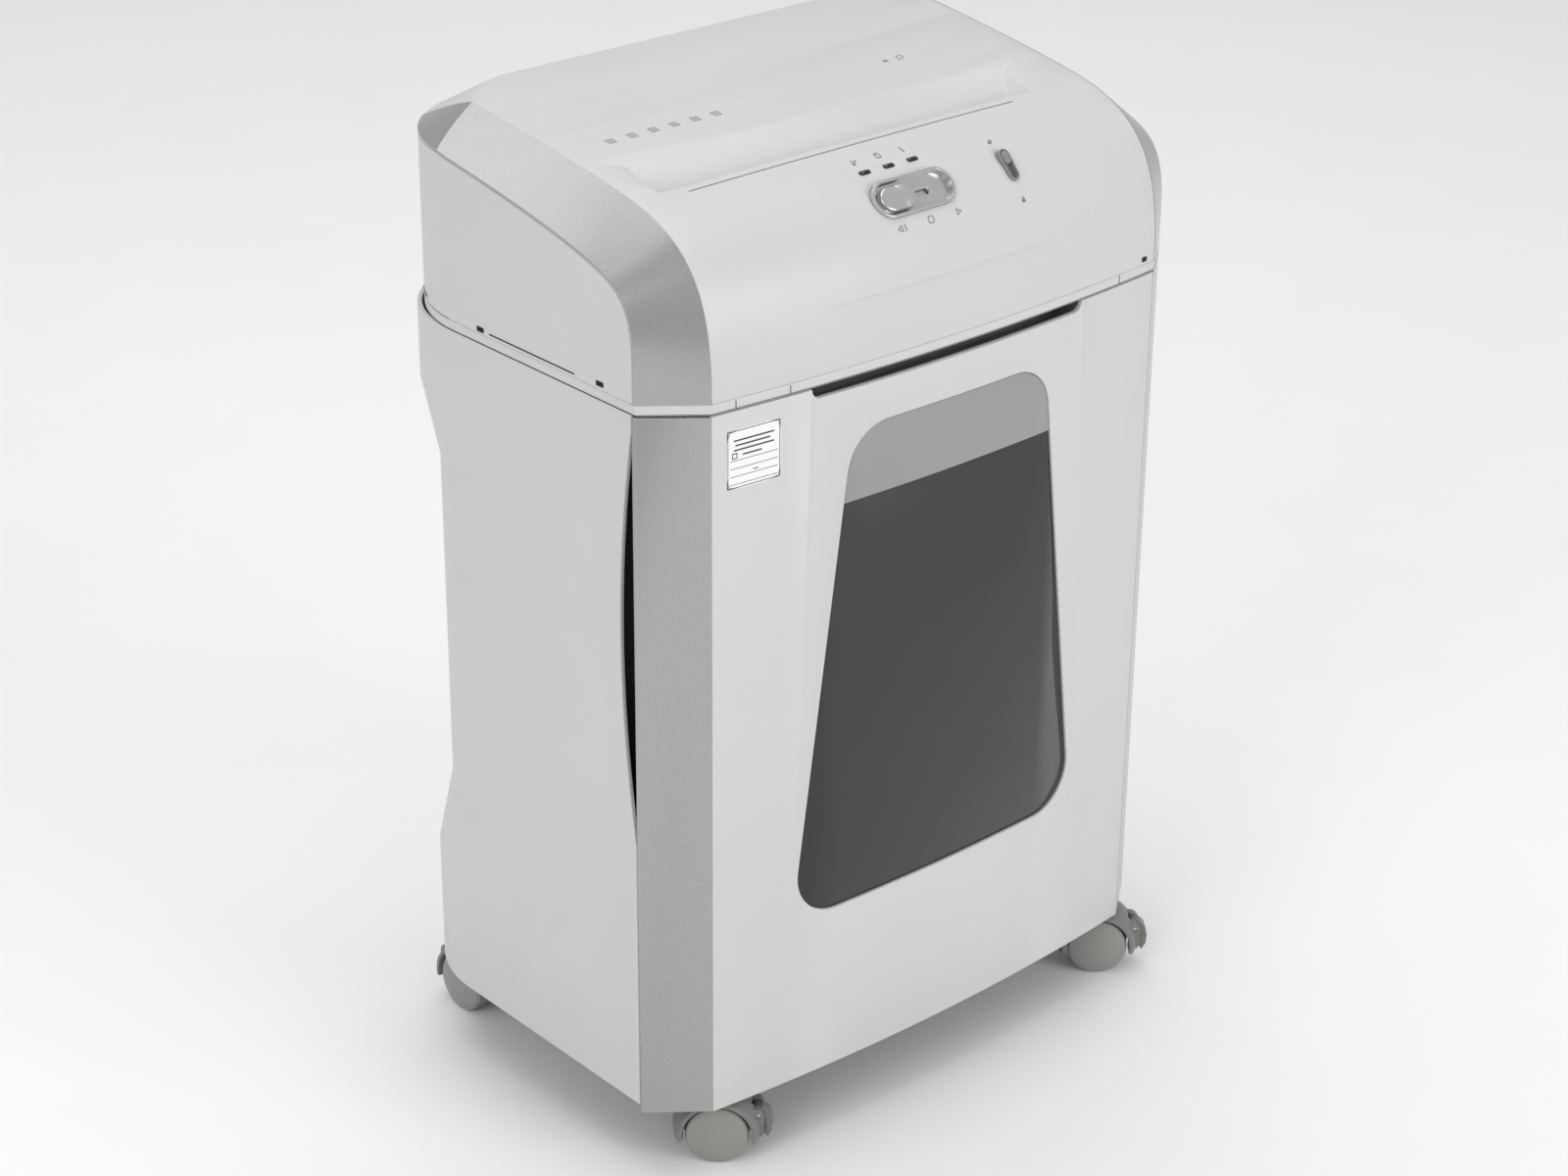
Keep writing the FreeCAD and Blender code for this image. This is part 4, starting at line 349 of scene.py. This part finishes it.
def outline(sides, radius, stroke=0.35, middle=(0.0, 0.0), turn=0.0, thick=0.12, stretch=1.0):
    """The outline of a ring or a regular shape, in millimetres."""
    bpy.ops.object.select_all(action="DESELECT")
    bpy.ops.mesh.primitive_circle_add(vertices=sides, radius=radius * MM, fill_type="NGON",
                                      rotation=(0.0, 0.0, math.radians(turn)))
    made = bpy.context.object
    made.scale = (stretch, 1.0, 1.0)
    made.location = (middle[0] * MM, middle[1] * MM, 0.0)
    bpy.ops.object.transform_apply(location=True, rotation=True, scale=True)
    bpy.ops.object.mode_set(mode="EDIT")
    bpy.ops.mesh.select_all(action="SELECT")
    bpy.ops.mesh.inset(thickness=stroke * MM)
    bpy.ops.mesh.delete(type="FACE")
    bpy.ops.mesh.select_all(action="SELECT")
    bpy.ops.mesh.extrude_region_move(TRANSFORM_OT_translate={"value": (0.0, 0.0, thick * MM)})
    bpy.ops.object.mode_set(mode="OBJECT")
    return made


def joined(pieces):
    """Several meshes as one, with all faces pointing outwards."""
    only(pieces[0])
    for piece in pieces[1:]:
        piece.select_set(True)
    if len(pieces) > 1:
        bpy.ops.object.join()
    made = bpy.context.object
    bpy.ops.object.mode_set(mode="EDIT")
    bpy.ops.mesh.select_all(action="SELECT")
    bpy.ops.mesh.normals_make_consistent(inside=False)
    bpy.ops.object.mode_set(mode="OBJECT")
    return made


def sign(name, strokes, x, y):
    """A small printed sign on the head's cover."""
    made = joined(strokes)
    lay_on(made, cover, (x * MM, y * MM, 1.0), (0.0, 0.0, -1.0))
    return settle(made, name, "cabinet", GREY_INK_AND_PAINTED_SHADE)


# rows and columns of the signs, in millimetres
SLIDER_ROW = -109.6
SLIDER_COLUMNS = (-26.0, -7.6, 10.4)
LAMP_COLUMNS = (-26.7, -11.3, 4.1)
LOCK_ROWS = (-86.0, -111.0)
PAPER_ROW = -5.0
PAPER_COLUMNS = [-118.0 + 13.0 * index for index in range(6)]
STACK_ROW = 3.0
STACK_COLUMNS = (66.0, 76.0)


def control_signs():
    """Plain signs round the controls: back, off and on under the slider, three lamps'
    signs above the lenses, and a shut and an open padlock by the lock."""
    back_x, off_x, on_x = SLIDER_COLUMNS
    sign("sign_back", [outline(3, 2.1, 0.4, (-1.0, 0.0), 90), bar(0.5, 3.2, (1.9, 0.0))], back_x, SLIDER_ROW)
    sign("sign_off", [outline(24, 2.0, 0.4)], off_x, SLIDER_ROW)
    sign("sign_on", [outline(3, 2.1, 0.4, turn=-90)], on_x, SLIDER_ROW)
    lamp_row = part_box("indicator_lenses")[1].y / MM + 5.0
    heat_x, bin_x, jam_x = LAMP_COLUMNS
    sign("sign_overheat", [bar(0.5, 3.4, (-0.8, 0.4)), outline(16, 0.9, 0.3, (-0.8, -1.2)),
                           bar(1.6, 0.4, (1.2, 1.2)), bar(1.6, 0.4, (1.2, 0.2))], heat_x, lamp_row)
    sign("sign_bin", [outline(4, 2.0, 0.35, turn=45, stretch=1.15), bar(2.2, 0.4, (0.0, 2.1))],
         bin_x, lamp_row)
    sign("sign_jam", [bar(0.5, 3.4, (0.0, 0.3)), bar(0.6, 0.6, (0.0, -2.0))], jam_x, lamp_row)
    lock_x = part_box("lock_bezel")[0].x / MM + 3.2
    for name, y, shackle in (("sign_unlocked", LOCK_ROWS[0], 1.2), ("sign_locked", LOCK_ROWS[1], 0.0)):
        sign(name, [bar(2.2, 1.6), outline(12, 0.85, 0.3, (shackle, 1.2))], lock_x, y)


def paper_signs():
    """Faint signs behind the paper entry: a row of plain frames and dashes."""
    for index, x in enumerate(PAPER_COLUMNS):
        dashes = [bar(2.2, 0.35, (0.0, height)) for height in (0.7, -0.7)]
        sign("sign_paper_%d" % (index + 1), [outline(4, 3.0, 0.3, turn=45)] + dashes, x, PAPER_ROW)
    sheets_x, cards_x = STACK_COLUMNS
    sign("sign_sheets", [bar(3.4, 0.3, (0.0, 0.4 * step)) for step in range(-2, 4, 2)], sheets_x, STACK_ROW)
    sign("sign_cards", [outline(4, 2.2, 0.25, turn=45, stretch=1.5)], cards_x, STACK_ROW)


LABEL_WIDTH, LABEL_HEIGHT = 31.0, 30.0
LABEL_SIDE_GAP, LABEL_HEAD_GAP = 8.0, 10.0


def label():
    """A small white label on the bin's front, with a thin border and plain bars."""
    width, height = LABEL_WIDTH, LABEL_HEIGHT
    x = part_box("bin_front_panel")[0].x / MM + LABEL_SIDE_GAP + width / 2
    z = seam_z / MM - LABEL_HEAD_GAP - height / 2
    start, towards = (x * MM, -1.0, z * MM), (0.0, 1.0, 0.0)
    paper = joined([bar(width, height, thick=0.16)])
    border = [bar(width - 1.0, 0.4, (0.0, way * (height - 1.4) / 2)) for way in (-1, 1)]
    border += [bar(0.4, height - 1.0, (way * (width - 1.4) / 2, 0.0)) for way in (-1, 1)]
    rows = [bar(width - 8.0 - 3.0 * (step % 2), 0.8, (-0.6 * (step % 2), 9.4 - 2.4 * step))
            for step in range(3)]
    rules = [bar(width - 4.0, 0.3, (0.0, -0.6 - 4.0 * step)) for step in range(4)]
    mark = [outline(4, 2.1, 0.5, (-11.0, 1.8), 45), bar(11.0, 0.8, (-1.0, 1.8)),
            bar(3.0, 0.5, (1.0, -7.0))]
    print_marks = joined(border + rows + rules + mark)
    lay_on(paper, panel, start, towards, 0.0)
    lay_on(print_marks, panel, start, towards, 0.08)
    settle(paper, "label_paper", "bin", LABEL_PAPER)
    settle(print_marks, "label_print", "bin", LABEL_INK)


def gap_ring(source, name, low, high):
    """A thin black strip all round a shell, where two mouldings meet: painted shadow standing for the shade
    in the gap.
    """
    only(source)
    bpy.ops.object.duplicate()
    made = bpy.context.object
    for key in list(made.keys()):
        del made[key]
    made.parent = None
    bpy.ops.object.mode_set(mode="EDIT")
    for height, way in ((low, 1.0), (high, -1.0)):
        bpy.ops.mesh.select_all(action="SELECT")
        bpy.ops.mesh.bisect(plane_co=(0.0, 0.0, height), plane_no=(0.0, 0.0, way), clear_inner=True)
    bpy.ops.object.mode_set(mode="OBJECT")
    outer = [face.index for face in made.data.polygons
             if face.normal.z ** 2 < 0.25 and face.normal.dot(face.center) > 0]
    bpy.ops.object.mode_set(mode="EDIT")
    bpy.ops.mesh.select_all(action="DESELECT")
    bpy.ops.object.mode_set(mode="OBJECT")
    for index in outer:
        made.data.polygons[index].select = True
    bpy.ops.object.mode_set(mode="EDIT")
    bpy.context.tool_settings.mesh_select_mode = (False, False, True)
    bpy.ops.mesh.select_all(action="INVERT")
    bpy.ops.mesh.delete(type="FACE")
    bpy.context.tool_settings.mesh_select_mode = (True, False, False)
    bpy.ops.object.mode_set(mode="OBJECT")
    apply(made, "SOLIDIFY", "thickness", thickness=0.14 * MM, offset=0.0)
    return settle(made, name, "cabinet", SHADOW)


# places along X of the lip's splits and of the catch, each drawn as a flat mark of painted shade
LIP_SPLITS = (-134.0, -103.0, 119.0)
CATCH_X = 139.0
# slots along the left side of the head, drawn as flat marks of painted shade: place along Y, width, height,
# rise above the cover's foot
SIDE_SLOTS = ((-14.0, 66.0, 0.7, 2.0), (26.0, 5.6, 2.6, 2.4), (-66.0, 5.6, 2.6, 3.0), (84.0, 16.0, 0.9, 3.0))


def lip_details():
    """Small splits, slots and catches along the head's lip, drawn as flat dark marks: painted shade standing
    for the shadow inside them.
    """
    middle = (seam_z + lip_z) / 2 / MM
    lip = fine["lower_housing"]
    marks = []
    for x in LIP_SPLITS:
        made = joined([bar(0.4, 4.6)])
        lay_on(made, lip, (x * MM, -1.0, middle * MM), (0.0, 1.0, 0.0), 0.0)
        marks.append(made)
    catch = joined([bar(4.0, 2.6)])
    lay_on(catch, cover, (CATCH_X * MM, -1.0, (lip_z / MM + 3.0) * MM), (0.0, 1.0, 0.0), 0.0)
    marks.append(catch)
    for y, width, height, rise in SIDE_SLOTS:
        made = joined([bar(width, height)])
        lay_on(made, cover, (-1.0, y * MM, lip_z + rise * MM), (1.0, 0.0, 0.0), 0.0)
        marks.append(made)
    settle(joined(marks), "lip_slots_painted_shade", "cabinet", SHADOW)


BROW_LENGTH, BROW_X, BROW_RISE = 136.0, -10.0, 36.0


def brow_line():
    """The faint raised line across the lower front of the head."""
    bpy.ops.object.select_all(action="DESELECT")
    bpy.ops.mesh.primitive_grid_add(x_subdivisions=68, y_subdivisions=2, size=1.0)
    made = bpy.context.object
    made.scale = (BROW_LENGTH * MM, 1.0 * MM, 1.0)
    made.rotation_euler = (math.radians(90), 0.0, 0.0)
    made.location = (BROW_X * MM, -0.3, seam_z + BROW_RISE * MM)
    bpy.ops.object.transform_apply(location=True, rotation=True, scale=True)
    apply(made, "SHRINKWRAP", "lie on the cover", target=cover, wrap_method="PROJECT",
          use_project_y=True, use_positive_direction=True, use_negative_direction=False)
    apply(made, "SOLIDIFY", "thickness", thickness=0.5 * MM, offset=0.0)
    settle(joined([made]), "brow_line", "cabinet", MATERIALS["white_housing"])


ENTRY_ENDS = (-118.0, 92.0)
# each line: its name, its place along Y and its width
ENTRY_SHADE_LINES = (("entry_front_painted_shadow", -62.6, 0.7), ("entry_slot_painted_shade", -46.4, 0.5))


def entry_shade_lines():
    """Grey strips of painted shade for the fine steps along the paper entry: a painted shadow under its
    front edge and a painted shade line where its floor drops to the slot."""
    left, right = ENTRY_ENDS
    for name, y, width in ENTRY_SHADE_LINES:
        bpy.ops.object.select_all(action="DESELECT")
        bpy.ops.mesh.primitive_grid_add(x_subdivisions=42, y_subdivisions=1, size=1.0)
        made = bpy.context.object
        made.scale = ((right - left) * MM, width * MM, 1.0)
        made.location = ((left + right) / 2 * MM, y * MM, 1.0)
        bpy.ops.object.transform_apply(location=True, rotation=True, scale=True)
        apply(made, "SHRINKWRAP", "lie in the entry", target=cover, wrap_method="PROJECT",
              use_project_z=True, use_positive_direction=False, use_negative_direction=True)
        apply(made, "SOLIDIFY", "thickness", thickness=0.16 * MM, offset=0.0)
        settle(joined([made]), name, "cabinet", GREY_INK_AND_PAINTED_SHADE)


control_signs()
paper_signs()
entry_shade_lines()
label()
# painted shadows along the two seams of the head
gap_ring(fine["lower_housing"], "seam_gap_painted_shadow", seam_z + 0.05 * MM, seam_z + 0.7 * MM)
gap_ring(fine["top_cover"], "lip_gap_painted_shadow", lip_z + 0.05 * MM, lip_z + 0.45 * MM)
lip_details()
brow_line()


# ---------------------------------------------------------------- stage

FLOOR_SIZE = 24.0
ROOM_STRENGTH = 0.58
# each softbox: its name, place and width in metres, and its power in watts
SOFTBOXES = (
    ("key_softbox", (-2.6, -0.6, 1.6), 1.8, 24.0),
    ("top_softbox", (0.2, 0.6, 2.8), 2.6, 30.0),
    ("front_softbox", (0.8, -2.9, 1.1), 1.6, 34.0),
)
AIM = Vector((0.0, 0.0, 0.27))


def studio():
    """A pale floor, a soft white room and three large soft lights."""
    bpy.ops.mesh.primitive_plane_add(size=FLOOR_SIZE)
    floor = bpy.context.object
    floor.name = "floor"
    floor.data.materials.append(moulded("matt_white_floor", "#f2f2f2", "#f5f5f5", 0.75, 8.0, 0.01))
    world = bpy.data.worlds.new("studio_white")
    world.use_nodes = True
    world.node_tree.nodes["Background"].inputs["Color"].default_value = linear("#ffffff")
    world.node_tree.nodes["Background"].inputs["Strength"].default_value = ROOM_STRENGTH
    bpy.context.scene.world = world
    for name, spot, width, power in SOFTBOXES:
        lamp = bpy.data.lights.new(name, "AREA")
        lamp.shape = "SQUARE"
        lamp.size = width
        lamp.energy = power
        holder = bpy.data.objects.new(name, lamp)
        bpy.context.scene.collection.objects.link(holder)
        holder.location = spot
        holder.rotation_euler = (AIM - Vector(spot)).to_track_quat("-Z", "Y").to_euler()


CAMERA_PLACE = Vector((-1.0673, -1.2047, 1.0231))
CAMERA_TURNS = (0.724, 0.450, 0.008)
LENS, SENSOR = 77.55, 36.0


def camera():
    """A long lens above the left front corner, looking down on the object."""
    yaw, pitch, roll = CAMERA_TURNS
    forward = Vector((math.sin(yaw) * math.cos(pitch), math.cos(yaw) * math.cos(pitch), -math.sin(pitch)))
    right = Vector((math.cos(yaw), -math.sin(yaw), 0.0))
    up = right.cross(forward)
    turned_right = math.cos(roll) * right + math.sin(roll) * up
    turned_up = -math.sin(roll) * right + math.cos(roll) * up
    seat = Matrix((turned_right, turned_up, -forward)).transposed().to_4x4()
    seat.translation = CAMERA_PLACE
    data = bpy.data.cameras.new("camera")
    data.sensor_width = SENSOR
    data.lens = LENS
    holder = bpy.data.objects.new("camera", data)
    bpy.context.scene.collection.objects.link(holder)
    holder.matrix_world = seat
    bpy.context.scene.camera = holder


studio()
camera()
bpy.context.scene.view_settings.view_transform = "Standard"
